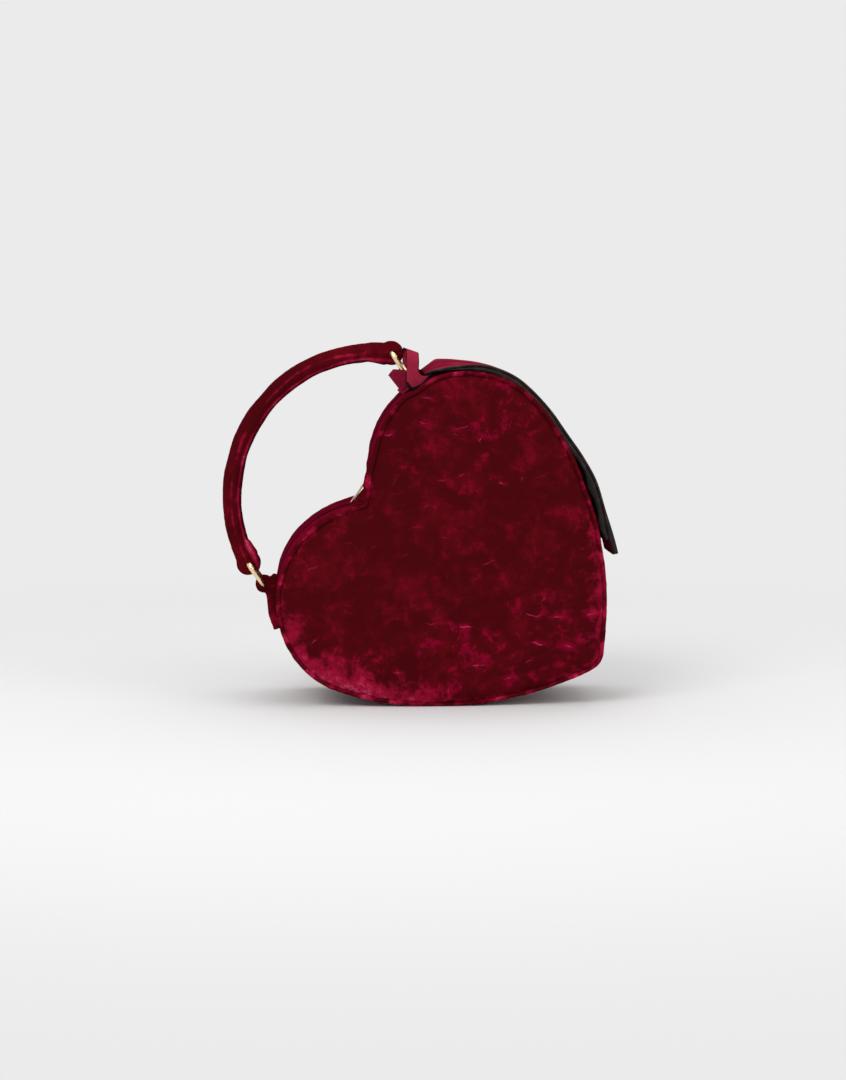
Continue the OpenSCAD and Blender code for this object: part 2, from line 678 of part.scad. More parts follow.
// End of the handle: a strap folded round the ring's bar, with its sewn tip inside the curve;
// turn is the angle of the handle's arc from the eye to the tube
module handle_end(eye, eye_angle, turn) {
    far = eye_angle + turn;
    near = eye_angle + turn / 3;
    tip = eye_angle + fold_tip_share * turn;
    inner_r = handle_r - tube_r;
    half = tab_w / 2;
    difference() {
        union() {
            slab(-half, half) translate(eye) circle(eye_r);
            slab(-half, half) ring_slice(handle_c, inner_r, handle_r + tube_r, min(near, far), max(near, far));
            slab(-half, half) polygon([
                polar(handle_c, handle_r, far), polar(handle_c, inner_r - ply_gap, far),
                polar(handle_c, inner_r - fold_t, tip), polar(handle_c, handle_r, tip)
            ]);
        }
        slab(-tab_w, tab_w) translate(eye) circle(wire_r + hinge_gap);
    }
}
module lower_handle_end() color(velvet) leaning() handle_end(lower_eye, lower_end_angle, -end_span);
module upper_handle_end() color(velvet) leaning() handle_end(upper_eye, upper_end_angle, end_span);

// Points along one bend of a chain, offset from its middle line
function bend_points(s, b, offset, n) = [for (i = [0 : n]) let (h = s[2] - b[1] * i / n)
    [s[0] + b[0] * sin(s[2]) - (b[0] + offset) * sin(h), s[1] - b[0] * cos(s[2]) + (b[0] + offset) * cos(h)]];

// Layer of leather along a chain of bends, between two offsets from its middle line
module leather_run(states, bends, first, low, high, knuckle = []) {
    function side(offset) = [for (i = [first : len(bends) - 1])
        let (n = ceil(bends[i][1] / bend_step), run = bend_points(states[i], bends[i], offset, n))
        for (k = [i == first ? 0 : 1 : n]) run[k]];
    far = side(low);
    polygon(concat(side(high), [for (i = [len(far) - 1 : -1 : 0]) far[i]], knuckle));
}

// Face of the tag: a rolled knuckle where it folds from the neck, and a slot over the upper tab's tail
module tag_face() {
    knuckle = [for (a = [knuckle_step : knuckle_step : 180 - knuckle_step])
        polar(tag_fold, leather_t / 2, tag_fold_angle + 180 - a)];
    color(leather_red) leaning() difference() {
        slab(-tag_w / 2, tag_w / 2)
            leather_run(tag_states, tag_bends, 0, -leather_t / 2, leather_t / 2, knuckle);
        slab(-neck_slot_w / 2, neck_slot_w / 2) ring_slice(lobe_c, lobe_r, lobe_r + foot_h,
            flat_foot_angle - slot_end_turn, tag_fold_angle + tab_neck_turn);
    }
}

module tag_backing() {
    color(leather_dark) leaning() slab(-tag_w / 2, tag_w / 2)
        leather_run(tag_states, backing_bends, 1, -backing_drop - leather_t / 2, -backing_drop + leather_t / 2);
}

// Neck: the tag's head, slotted for the upper tab and hollowed for the knuckle
module tag_neck() {
    color(leather_red) leaning() difference() {
        slab(-neck_w / 2, neck_w / 2) difference() {
            ring_slice(lobe_c, lobe_r + loose_gap, lobe_r + loose_gap + leather_t,
                tag_fold_angle, neck_end_angle);
            translate(tag_fold) circle(leather_t / 2 + loose_gap);
        }
        slab(-neck_slot_w / 2, neck_slot_w / 2) ring_slice(lobe_c, lobe_r, lobe_r + foot_h,
            tag_fold_angle - slot_end_turn, neck_end_angle - slot_top_turn);
    }
}

// Strap: a bridge over the upper ring's tab, with a foot along each edge of the neck
module tag_strap() {
    outer_half = strap_span / 2;
    strap_right = strap_left + strap_w;
    low = lobe_x * sin(lean);
    color(leather_red) intersection() {
        leaning() slab(-outer_half, outer_half) difference() {
            rotate(-lean) union() {
                translate([strap_left, low]) square([strap_w, strap_top - low]);
                rotate(lean) ring_slice(lobe_c, lobe_r, lobe_r + foot_h,
                    tag_fold_angle - strap_foot_turn, neck_end_angle - slot_top_turn);
            }
            translate(lobe_c) circle(lobe_r + loose_gap, $fn = fine_fn);
        }
        translate([shift_x, 0, stand_z]) rotate([90, 0, 90]) linear_extrude(4 * strap_w, center = true)
            difference() {
                bridge_outline(outer_half, strap_top, strap_corner_r);
                bridge_outline(outer_half - leather_t, strap_top - leather_t, strap_corner_r - leather_t);
            }
    }
}

// Tall arch outline with rounded top corners
module bridge_outline(half, top, r) {
    translate([-half, 0]) square([2 * half, top - r]);
    translate([r - half, 0]) square([2 * (half - r), top]);
    for (way = [-1, 1]) translate([way * (half - r), top - r]) circle(r);
}

// Free end of the strap, standing up beside the bridge: [height above the neck, angle on the lobe]
flap_outline = [[0, 76.5], [12.2, 76], [13.1, 72.4], [8.5, 67.4], [0, 73]];
module tag_strap_end() {
    y0 = -strap_span / 2 + leather_t + loose_gap;
    base_r = lobe_r + 2 * loose_gap + leather_t;
    color(leather_red) leaning() slab(y0, y0 + 2 * leather_t)
        polygon([for (p = flap_outline) polar(lobe_c, base_r + p[0], p[1])]);
}

front_panel();
back_panel();
front_wadding();
back_wadding();
front_board();
back_board();
front_welt();
back_welt();
base_gusset();
gusset_board();
front_zip_strip();
back_zip_strip();
front_lining();
back_lining();
gusset_lining();
front_zip_tape();
back_zip_tape();
front_zip_teeth();
back_zip_teeth();
zip_stops();
zip_slider();
zip_pull();
lower_tab();
upper_tab();
lower_ring();
upper_ring();
handle_cover();
handle_core();
lower_handle_end();
upper_handle_end();
tag_neck();
tag_strap();
tag_strap_end();
tag_face();
tag_backing();
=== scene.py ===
"""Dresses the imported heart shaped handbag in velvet, leather and metal, and lights it.

Sizes inside the classes are in millimetres, in the heart's own upright plane: across, depth, up.
HeartPlan.stand() turns them into the row frame, in metres, where the bag leans on its side.
"""

import logging
import math
from dataclasses import dataclass, field
from enum import Enum
from typing import Callable, Sequence

import bmesh
import bpy
from mathutils import Matrix, Vector, kdtree, noise


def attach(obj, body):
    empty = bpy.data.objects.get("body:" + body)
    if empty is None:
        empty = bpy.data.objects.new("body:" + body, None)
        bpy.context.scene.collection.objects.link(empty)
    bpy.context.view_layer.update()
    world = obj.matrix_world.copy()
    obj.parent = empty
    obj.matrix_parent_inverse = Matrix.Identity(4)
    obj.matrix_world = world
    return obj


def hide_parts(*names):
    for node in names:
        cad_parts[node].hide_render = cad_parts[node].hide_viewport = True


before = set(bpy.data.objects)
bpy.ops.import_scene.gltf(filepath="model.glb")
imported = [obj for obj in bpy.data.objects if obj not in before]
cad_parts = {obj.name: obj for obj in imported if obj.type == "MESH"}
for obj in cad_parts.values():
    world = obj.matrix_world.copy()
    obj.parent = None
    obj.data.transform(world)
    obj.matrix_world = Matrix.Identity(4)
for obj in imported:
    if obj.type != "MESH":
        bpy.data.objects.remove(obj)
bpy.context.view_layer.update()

LOG = logging.getLogger("handbag")
MM = 0.001
DEPTH_AXIS = Vector((0.0, 1.0, 0.0))


class Side(Enum):
    """Which face of the bag a piece belongs to."""

    FRONT = -1
    BACK = 1


@dataclass(frozen=True)
class Arc:
    """One arc of a path in the heart's plane.

    Attributes:
        centre: Its centre, across and up.
        radius: Its radius.
        start: Angle where it starts, in degrees.
        end: Angle where it ends, in degrees.
    """

    centre: tuple[float, float]
    radius: float
    start: float
    end: float

    @property
    def length(self) -> float:
        """Length along the arc."""
        return self.radius * abs(math.radians(self.end - self.start))

    def point(self, angle: float) -> tuple[float, float]:
        """Point of the arc at an angle in degrees."""
        turn = math.radians(angle)
        return (self.centre[0] + self.radius * math.cos(turn), self.centre[1] + self.radius * math.sin(turn))


@dataclass(frozen=True)
class HeartPlan:
    """The heart's outline and how it stands; the values repeat the part's source."""

    lobe_x: float = 48.6
    lobe_r: float = 56.4
    side_r: float = 200.0
    side_turn: float = 19.5
    tip_r: float = 12.0
    cleft_r: float = 8.0
    lean: float = 54.45
    shift_x: float = -1.01242
    stand_z: float = 100.939

    @property
    def lobe_c(self) -> tuple[float, float]:
        """Centre of the right lobe."""
        return (self.lobe_x, 0.0)

    @property
    def side_c(self) -> tuple[float, float]:
        """Centre of the right side's long arc."""
        turn = math.radians(self.side_turn)
        reach = self.side_r - self.lobe_r
        return (self.lobe_x - reach * math.cos(turn), reach * math.sin(turn))

    @property
    def tip_c(self) -> tuple[float, float]:
        """Centre of the rounded point."""
        across, up = self.side_c
        return (0.0, up - math.sqrt((self.side_r - self.tip_r) ** 2 - across * across))

    @property
    def cleft_c(self) -> tuple[float, float]:
        """Centre of the rounded notch."""
        return (0.0, math.sqrt((self.lobe_r + self.cleft_r) ** 2 - self.lobe_x**2))

    @property
    def tip_turn(self) -> float:
        """Angle where the long arc runs into the point."""
        return math.degrees(math.atan2(self.tip_c[1] - self.side_c[1], -self.side_c[0]))

    @property
    def cleft_turn(self) -> float:
        """Angle on the right lobe where it runs into the notch."""
        return math.degrees(math.atan2(self.cleft_c[1], -self.lobe_x))

    def notch_arc(self, inset: float) -> Arc:
        """Right half of the notch, drawn in by inset."""
        return Arc(self.cleft_c, self.cleft_r + inset, -90.0, self.cleft_turn - 180.0)

    def lobe_arc(self, inset: float, start: float, end: float) -> Arc:
        """Stretch of the right lobe between two angles, drawn in by inset."""
        return Arc(self.lobe_c, self.lobe_r - inset, start, end)

    def lower_arcs(self, inset: float) -> list[Arc]:
        """Long arc and half of the point, on the right side."""
        return [
            Arc(self.side_c, self.side_r - inset, -self.side_turn, self.tip_turn),
            Arc(self.tip_c, self.tip_r - inset, self.tip_turn, -90.0),
        ]

    def half(self, inset: float) -> list[Arc]:
        """Arcs from the notch down the right side to the point."""
        lobe = self.lobe_arc(inset, self.cleft_turn, -self.side_turn)
        return [self.notch_arc(inset), lobe, *self.lower_arcs(inset)]

    def outline(self, inset: float, step: float) -> list[tuple[float, float]]:
        """Points round the whole heart.

        Args:
            inset: How far the outline is drawn in.
            step: Longest distance between two points.

        Returns:
            The points, from the notch down the right side and back up the left.
        """
        right = []
        for arc in self.half(inset):
            count = max(2, math.ceil(arc.length / step))
            right += [arc.point(arc.start + (arc.end - arc.start) * i / count) for i in range(count)]
        low = (0.0, self.tip_c[1] - self.tip_r + inset)
        return [*right, low, *[(-x, y) for x, y in reversed(right[1:])]]

    def stand(self) -> Matrix:
        """Matrix from the heart's plane, in millimetres, to the row frame, in metres."""
        place = Matrix.Translation((self.shift_x * MM, 0.0, self.stand_z * MM))
        return place @ Matrix.Rotation(math.radians(-self.lean), 4, "Y") @ Matrix.Scale(MM, 4)


PLAN = HeartPlan()


class RimMap:
    """Finds how far inside the heart's outline a point lies, and where along it."""

    def __init__(self, plan: HeartPlan, step: float = 0.5) -> None:
        """Fills a search tree with the outline's points."""
        self.points = plan.outline(0.0, step)
        self.tree = kdtree.KDTree(len(self.points))
        self.along = []
        run = 0.0
        last = self.points[-1]
        for index, point in enumerate(self.points):
            run += math.dist(point, last)
            last = point
            self.along.append(run)
            self.tree.insert((point[0], point[1], 0.0), index)
        self.tree.balance()

    def find(self, across: float, up: float) -> tuple[float, float]:
        """Distance to the outline, and the place along it, in millimetres."""
        _, index, distance = self.tree.find((across, up, 0.0))
        return distance, self.along[index]


RIM = RimMap(PLAN)


def wave(point: Vector, size: float, seed: float = 0.0) -> float:
    """Smooth noise from -1 to 1 whose swells are about as long as size."""
    return noise.noise(Vector((point.x / size + seed, point.y / size - seed, point.z / size + 2 * seed)))


def slump(point: Vector) -> Vector:
    """Moves a point of the velvet body as its soft outline wanders from the plan.

    Args:
        point: A point in the heart's plane.

    Returns:
        The moved point; the strip beside the zip's teeth hardly moves.
    """
    share = 0.6 * smooth_step(abs(point.y), 6.0, 26.0)
    across = wave(Vector((point.x, 0.4 * point.y, point.z)), 24.0, 31.0)
    up = wave(Vector((point.x, 0.4 * point.y, point.z)), 24.0, 57.0)
    return point + Vector((share * across, 0.0, share * up)) + sag(point)


def bump(value: float, middle: float, width: float) -> float:
    """Bell curve of height 1 round a middle."""
    return math.exp(-(((value - middle) / width) ** 2))


def sag(point: Vector) -> Vector:
    """How far the stuffed rim leaves the plan: puffed out in the notch, pressed in under the strap.

    Args:
        point: A point in the heart's plane.

    Returns:
        The move at that point.
    """
    front = smooth_step(-point.y, 8.0, 34.0)
    back = smooth_step(point.y, 8.0, 34.0)
    inside, _ = RIM.find(point.x, point.z)
    notch = smooth_step(point.z, 12.0, 26.0) * math.exp(-inside / 20.0)
    puff = front * bump(point.x, 3.0, 13.0 if point.x > 3.0 else 10.0)
    up = 5.0 * puff + 2.4 * back * bump(point.x, 0.0, 9.0)
    across = front * (1.2 * bump(point.x, -9.0, 5.0) - 2.8 * bump(point.x, 7.0, 11.0))
    away = Vector((point.x - PLAN.lobe_x, 0.0, point.z))
    turn = math.degrees(math.atan2(away.z, away.x))
    pressed = 2.1 * smooth_step(-point.y, 17.0, 23.0) * bump(turn, 68.5, 6.5)
    hollow = 1.3 * back * smooth_step(turn, 66.0, 80.0) * (1.0 - smooth_step(turn, 120.0, 131.0))
    depth = (pressed + hollow) * math.exp(-inside / 14.0)
    return Vector((across * notch, 0.0, up * notch)) - away.normalized() * depth


def smooth_step(value: float, low: float, high: float) -> float:
    """0 below low, 1 above high, and a smooth run between."""
    share = min(1.0, max(0.0, (value - low) / (high - low)))
    return share * share * (3.0 - 2.0 * share)


def polar_points(
    centre: tuple[float, float], places: Sequence[tuple[float, float]]
) -> tuple[tuple[float, float], ...]:
    """Points round a centre, each given by its radius and its angle in degrees."""
    return tuple(
        (centre[0] + r * math.cos(math.radians(a)), centre[1] + r * math.sin(math.radians(a))) for r, a in places
    )


def edge_distance(place: tuple[float, float], first: tuple[float, float], second: tuple[float, float]) -> float:
    """Distance from a place to the straight edge between two others."""
    edge = Vector(second) - Vector(first)
    away = Vector(place) - Vector(first)
    share = min(1.0, max(0.0, away.dot(edge) / edge.length_squared))
    return (away - edge * share).length


def spline(points: Sequence[tuple[float, float]], place: float) -> float:
    """Value of a soft line through points at a place; it stays level outside them."""
    if place <= points[0][0]:
        return points[0][1]
    for index, ((start, low), (end, high)) in enumerate(zip(points, points[1:])):
        if place < end:
            before, after = points[max(index - 1, 0)], points[min(index + 2, len(points) - 1)]
            wide = end - start
            leave = wide * (high - before[1]) / (end - before[0])
            arrive = wide * (after[1] - low) / (after[0] - start)
            t = (place - start) / wide
            rise = low + (high - low) * t * t * (3.0 - 2.0 * t)
            return rise + t * (1.0 - t) * ((1.0 - t) * leave - t * arrive)
    return points[-1][1]


class Pattern:
    """A mesh drawn in the heart's plane and turned into an object of the row frame."""

    def __init__(self) -> None:
        """Starts an empty mesh."""
        self.bm = bmesh.new()

    def line(self, points: Sequence[tuple[float, float, float]], closed: bool = False) -> list:
        """Draws a line through points.

        Args:
            points: Across, depth and up of each point.
            closed: Whether the last point joins the first.

        Returns:
            Its vertices and edges.
        """
        verts = [self.bm.verts.new(p) for p in points]
        pairs = list(zip(verts, verts[1:]))
        if closed:
            pairs.append((verts[-1], verts[0]))
        return verts + [self.bm.edges.new(pair) for pair in pairs]

    def sweep(self, profile: list, arcs: Sequence[Arc], step: float) -> list:
        """Spins a profile along arcs, one after the other.

        Args:
            profile: Vertices and edges at the start of the first arc.
            arcs: The arcs of the path.
            step: Longest distance between two rings of the sweep.

        Returns:
            The vertices and edges of the last ring.
        """
        ring = profile
        for arc in arcs:
            made = bmesh.ops.spin(
                self.bm,
                geom=ring,
                cent=(arc.centre[0], 0.0, arc.centre[1]),
                axis=DEPTH_AXIS,
                angle=math.radians(arc.start - arc.end),
                steps=max(1, math.ceil(arc.length / step)),
                use_merge=False,
            )
            ring = made["geom_last"]
        return ring

    def mirror_across(self) -> None:
        """Adds the left half, and joins it to the right one on the heart's axis."""
        whole = self.bm.verts[:] + self.bm.edges[:] + self.bm.faces[:]
        bmesh.ops.mirror(self.bm, geom=whole, matrix=Matrix.Identity(4), merge_dist=0.01, axis="X")
        bmesh.ops.remove_doubles(self.bm, verts=self.bm.verts[:], dist=0.01)

    def mirror_depth(self) -> None:
        """Turns the pattern from the front to the back."""
        bmesh.ops.scale(self.bm, vec=(1.0, -1.0, 1.0), verts=self.bm.verts[:])
        bmesh.ops.reverse_faces(self.bm, faces=self.bm.faces[:])

    def thicken(self, thickness: float) -> None:
        """Gives a sheet a thickness, after its faces are made to point one way."""
        bmesh.ops.recalc_face_normals(self.bm, faces=self.bm.faces[:])
        bmesh.ops.solidify(self.bm, geom=self.bm.faces[:], thickness=thickness)

    def move(self, rule: Callable[[Vector], Vector]) -> None:
        """Moves each vertex to where a rule puts it."""
        for vert in self.bm.verts:
            vert.co = rule(vert.co)

    def piece(self, name: str, plan: HeartPlan = PLAN, recalc: bool = True) -> bpy.types.Object:
        """Turns the pattern into a smooth shaded object that stands in the row frame.

        Args:
            name: Name of the object.
            plan: How the heart stands.
            recalc: Whether the faces are made to point outwards.

        Returns:
            The object.
        """
        if recalc:
            bmesh.ops.recalc_face_normals(self.bm, faces=self.bm.faces[:])
        bmesh.ops.transform(self.bm, matrix=plan.stand(), verts=self.bm.verts[:])
        for face in self.bm.faces:
            face.smooth = True
        mesh = bpy.data.meshes.new(name)
        self.bm.to_mesh(mesh)
        self.bm.free()
        made = bpy.data.objects.new(name, mesh)
        bpy.context.scene.collection.objects.link(made)
        return made


def settle(piece: bpy.types.Object) -> None:
    """Applies a piece's modifiers to its mesh."""
    graph = bpy.context.evaluated_depsgraph_get()
    mesh = bpy.data.meshes.new_from_object(piece.evaluated_get(graph))
    piece.modifiers.clear()
    old = piece.data
    piece.data = mesh
    bpy.data.meshes.remove(old)
    mesh.name = piece.name


def remesh(piece: bpy.types.Object, size: float) -> None:
    """Lays an even mesh over a closed piece.

    Args:
        piece: The piece.
        size: Length of a face's side, in millimetres.
    """
    cells = piece.modifiers.new("cells", "REMESH")
    cells.mode = "VOXEL"
    cells.voxel_size = size * MM
    cells.use_smooth_shade = True
    settle(piece)


def subdivide(piece: bpy.types.Object) -> None:
    """Subdivides a piece smoothly, once."""
    finer = piece.modifiers.new("finer", "SUBSURF")
    finer.levels = finer.render_levels = 1
    settle(piece)


def relax(piece: bpy.types.Object, rounds: int, factor: float = 0.5) -> None:
    """Smooths a piece's vertices.

    Args:
        piece: The piece.
        rounds: How many times it is smoothed.
        factor: How far a vertex goes each time.
    """
    bm = bmesh.new()
    bm.from_mesh(piece.data)
    for _ in range(rounds):
        bmesh.ops.smooth_vert(bm, verts=bm.verts[:], factor=factor, use_axis_x=True, use_axis_y=True, use_axis_z=True)
    bm.to_mesh(piece.data)
    bm.free()


def ruffle(piece: bpy.types.Object, rule: Callable[[Vector, Vector], float], plan: HeartPlan = PLAN) -> None:
    """Moves a piece's vertices along their normals.

    Args:
        piece: The piece, in the row frame.
        rule: Gives the move in millimetres from the point in the heart's plane and its normal there.
        plan: How the heart stands.
    """
    back = plan.stand().inverted()
    turn = back.to_3x3()
    moves = []
    for vert in piece.data.vertices:
        local = back @ vert.co
        moves.append(rule(local, (turn @ vert.normal).normalized()))
    for vert, move in zip(piece.data.vertices, moves):
        vert.co = vert.co + vert.normal * move * MM


def swell(
    piece: bpy.types.Object, hold: Callable[[Vector], float], pressure: float, cap: float, frames: int = 20
) -> None:
    """Blows a closed piece up as cloth, and keeps the folds that form.

    Args:
        piece: The piece, in the row frame.
        hold: Gives how firmly a point is held, from 0 to 1, from its place in the row frame.
        pressure: Pressure inside.
        cap: Furthest that a point may move, in millimetres.
        frames: Steps of the simulation.
    """
    scene = bpy.context.scene
    before = [vert.co.copy() for vert in piece.data.vertices]
    held = piece.vertex_groups.new(name="held")
    for vert in piece.data.vertices:
        held.add([vert.index], hold(vert.co), "REPLACE")
    cloth = piece.modifiers.new("cloth", "CLOTH")
    rules = cloth.settings
    rules.quality = 6
    rules.mass = 0.02
    rules.tension_stiffness = rules.compression_stiffness = 12.0
    rules.shear_stiffness = 4.0
    rules.bending_stiffness = 0.02
    rules.use_pressure = True
    rules.uniform_pressure_force = pressure
    rules.vertex_group_mass = "held"
    rules.effector_weights.gravity = 0.0
    cloth.collision_settings.use_collision = False
    cloth.point_cache.frame_start = 1
    cloth.point_cache.frame_end = frames
    for frame_number in range(1, frames + 1):
        scene.frame_set(frame_number)
    settle(piece)
    scene.frame_set(1)
    piece.vertex_groups.clear()
    moves = sorted((vert.co - old).length / MM for vert, old in zip(piece.data.vertices, before))
    LOG.info("cloth of %s moved %.2f mm at most, %.2f mm in the middle", piece.name, moves[-1], moves[len(moves) // 2])
    for vert, old in zip(piece.data.vertices, before):
        move = vert.co - old
        if move.length > cap * MM:
            vert.co = old + move.normalized() * cap * MM


def rest_on_floor(piece: bpy.types.Object) -> None:
    """Flattens what hangs below the floor onto it."""
    for vert in piece.data.vertices:
        vert.co.z = max(vert.co.z, 0.0)


def paint(piece: bpy.types.Object, name: str, rule: Callable[[Vector], float], plan: HeartPlan = PLAN) -> None:
    """Stores a number on each vertex for its material.

    Args:
        piece: The piece, in the row frame.
        name: Name of the attribute.
        rule: Gives the number from the point in the heart's plane.
        plan: How the heart stands.
    """
    back = plan.stand().inverted()
    values = [rule(back @ vert.co) for vert in piece.data.vertices]
    layer = piece.data.attributes.new(name, "FLOAT", "POINT")
    layer.data.foreach_set("value", values)


def copy_of(node: str, name: str) -> bpy.types.Object:
    """Copies a CAD node's mesh into a new piece, with its loose triangles joined and its flats whole.

    Args:
        node: Name of the CAD node.
        name: Name of the new piece.

    Returns:
        The new piece.
    """
    bm = bmesh.new()
    bm.from_mesh(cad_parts[node].data)
    bmesh.ops.remove_doubles(bm, verts=bm.verts[:], dist=0.01 * MM)
    bmesh.ops.dissolve_limit(bm, angle_limit=math.radians(1.0), verts=bm.verts[:], edges=bm.edges[:])
    bmesh.ops.recalc_face_normals(bm, faces=bm.faces[:])
    for face in bm.faces:
        face.smooth = True
    mesh = bpy.data.meshes.new(name)
    bm.to_mesh(mesh)
    bm.free()
    made = bpy.data.objects.new(name, mesh)
    bpy.context.scene.collection.objects.link(made)
    return made


def round_edges(piece: bpy.types.Object, width: float, segments: int = 3) -> None:
    """Adds a bevel along a piece's sharp edges, with the flats still shaded flat.

    Args:
        piece: The piece.
        width: Width of the bevel in millimetres.
        segments: Faces across the bevel.
    """
    bevel = piece.modifiers.new("rounded_edges", "BEVEL")
    bevel.width = width * MM
    bevel.segments = segments
    bevel.limit_method = "ANGLE"
    bevel.angle_limit = math.radians(35.0)
    bevel.profile = 0.5
    bevel.material = -1
    bevel.harden_normals = True


# ---------------------------------------------------------------- finishes


class Shader:
    """A node tree being built round one Principled BSDF."""

    def __init__(self, name: str) -> None:
        """Starts a material with its surface shader.

        Args:
            name: Name of the material.
        """
        self.material = bpy.data.materials.new(name)
        self.material.use_nodes = True
        self.tree = self.material.node_tree
        self.tree.nodes.clear()
        self.output = self.tree.nodes.new("ShaderNodeOutputMaterial")
        self.surface = self.tree.nodes.new("ShaderNodeBsdfPrincipled")
        self.tree.links.new(self.surface.outputs["BSDF"], self.output.inputs["Surface"])
        self.place = self.tree.nodes.new("ShaderNodeTexCoord").outputs["Object"]

    def put(self, socket: bpy.types.NodeSocket, value: object) -> None:
        """Links a socket into another, or sets a value on it."""
        if isinstance(value, bpy.types.NodeSocket):
            self.tree.links.new(value, socket)
        elif isinstance(value, tuple) and len(value) == 3 and socket.type == "RGBA":
            socket.default_value = (*value, 1.0)
        else:
            socket.default_value = value

    def set(self, **values: object) -> None:
        """Sets inputs of the surface shader; an underscore stands for a space."""
        for name, value in values.items():
            self.put(self.surface.inputs[name.replace("_", " ")], value)

    def mapped(
        self, scale: tuple[float, float, float], turn: tuple[float, float, float] = (0.0, 0.0, 0.0)
    ) -> bpy.types.NodeSocket:
        """Object coordinates, scaled and turned in degrees."""
        node = self.tree.nodes.new("ShaderNodeMapping")
        node.inputs["Scale"].default_value = scale
        node.inputs["Rotation"].default_value = tuple(math.radians(a) for a in turn)
        self.put(node.inputs["Vector"], self.place)
        return node.outputs["Vector"]

    def noise(
        self, scale: float, detail: float = 3.0, rough: float = 0.5, twist: float = 0.0, where: object = None
    ) -> bpy.types.NodeSocket:
        """Noise from 0 to 1.

        Args:
            scale: Swells to a metre.
            detail: Finer layers.
            rough: Weight of the finer layers.
            twist: Distortion.
            where: Coordinates, or None for the object's.

        Returns:
            The noise's factor.
        """
        node = self.tree.nodes.new("ShaderNodeTexNoise")
        self.put(node.inputs["Vector"], where or self.place)
        for name, value in (("Scale", scale), ("Detail", detail), ("Roughness", rough), ("Distortion", twist)):
            node.inputs[name].default_value = value
        return node.outputs["Fac"]

    def cells(self, scale: float, feature: str = "F1", where: object = None) -> bpy.types.NodeSocket:
        """Distance in a pattern of cells, with scale cells to a metre."""
        node = self.tree.nodes.new("ShaderNodeTexVoronoi")
        node.feature = feature
        node.inputs["Scale"].default_value = scale
        self.put(node.inputs["Vector"], where or self.place)
        return node.outputs["Distance"]

    def dashes(
        self, scale: float, length: float, width: float, share: float, where: object = None
    ) -> tuple[bpy.types.NodeSocket, bpy.types.NodeSocket]:
        """Short strokes, at most one to a cell, each turned a little its own way.

        Args:
            scale: Cells to a metre.
            length: Half a stroke's length in metres.
            width: Half its width in metres.
            share: Share of the cells without a stroke.
            where: Coordinates whose X and Z the strokes lie in.

        Returns:
            The strokes and a soft halo round them, each from 0 to 1.
        """
        node = self.tree.nodes.new("ShaderNodeTexVoronoi")
        node.inputs["Scale"].default_value = scale
        self.put(node.inputs["Vector"], where)
        away = self.tree.nodes.new("ShaderNodeVectorMath")
        away.operation = "SUBTRACT"
        self.put(away.inputs[0], where)
        self.put(away.inputs[1], node.outputs["Position"])
        parts = self.tree.nodes.new("ShaderNodeSeparateXYZ")
        self.put(parts.inputs[0], away.outputs[0])
        dice = self.tree.nodes.new("ShaderNodeSeparateColor")
        self.put(dice.inputs[0], node.outputs["Color"])
        red, green, blue = (dice.outputs[name] for name in ("Red", "Green", "Blue"))
        across, up = parts.outputs["X"], parts.outputs["Z"]
        turn = self.math("SUBTRACT", green, 0.5)
        bend = self.math("MULTIPLY", self.math("MULTIPLY", across, across), self.span(blue, 0.0, 1.0, -45.0, 45.0))
        run = self.math("ADD", across, self.math("MULTIPLY", up, turn))
        rise = self.math("ADD", self.math("SUBTRACT", up, self.math("MULTIPLY", across, turn)), bend)
        here = self.span(red, share, share + 0.02)
        size = self.span(red, share, 1.0, 0.6, 1.25)

        def spot(wide: float, high: float) -> bpy.types.NodeSocket:
            """One stroke of a half length and a half width, fading to its edge."""
            first = self.math("POWER", self.math("DIVIDE", run, self.math("MULTIPLY", size, wide)), 2.0)
            second = self.math("POWER", self.math("DIVIDE", rise, high), 2.0)
            return self.math("MULTIPLY", self.math("SUBTRACT", 1.0, self.math("ADD", first, second), True), here)

        return spot(length, width), spot(2.2 * length, 5.5 * width)

    def warped(self, where: object, scale: float, amount: float) -> bpy.types.NodeSocket:
        """Coordinates pushed about by noise, by up to amount metres."""
        node = self.tree.nodes.new("ShaderNodeTexNoise")
        self.put(node.inputs["Vector"], self.place)
        for name, value in (("Scale", scale), ("Detail", 2.0)):
            node.inputs[name].default_value = value
        push = self.tree.nodes.new("ShaderNodeVectorMath")
        push.operation = "MULTIPLY_ADD"
        self.put(push.inputs[0], node.outputs["Color"])
        push.inputs[1].default_value = (2.0 * amount,) * 3
        self.put(push.inputs[2], where)
        return push.outputs[0]

    def bands(
        self, scale: float, twist: float = 0.0, direction: str = "X", where: object = None
    ) -> bpy.types.NodeSocket:
        """Soft bands across one direction, with scale turns of six to a metre."""
        node = self.tree.nodes.new("ShaderNodeTexWave")
        node.bands_direction = direction
        node.inputs["Scale"].default_value = scale
        node.inputs["Distortion"].default_value = twist
        self.put(node.inputs["Vector"], where or self.place)
        return node.outputs["Fac"]

    def math(self, operation: str, first: object, second: object = 0.0, clamp: bool = False) -> bpy.types.NodeSocket:
        """One sum on two numbers."""
        node = self.tree.nodes.new("ShaderNodeMath")
        node.operation = operation
        node.use_clamp = clamp
        self.put(node.inputs[0], first)
        self.put(node.inputs[1], second)
        return node.outputs["Value"]

    def span(
        self, value: object, low: float, high: float, out_low: float = 0.0, out_high: float = 1.0
    ) -> bpy.types.NodeSocket:
        """Smoothly maps low to high onto a new range, and clamps it."""
        node = self.tree.nodes.new("ShaderNodeMapRange")
        node.interpolation_type = "SMOOTHSTEP"
        for index, number in enumerate((value, low, high, out_low, out_high)):
            self.put(node.inputs[index], number)
        return node.outputs["Result"]

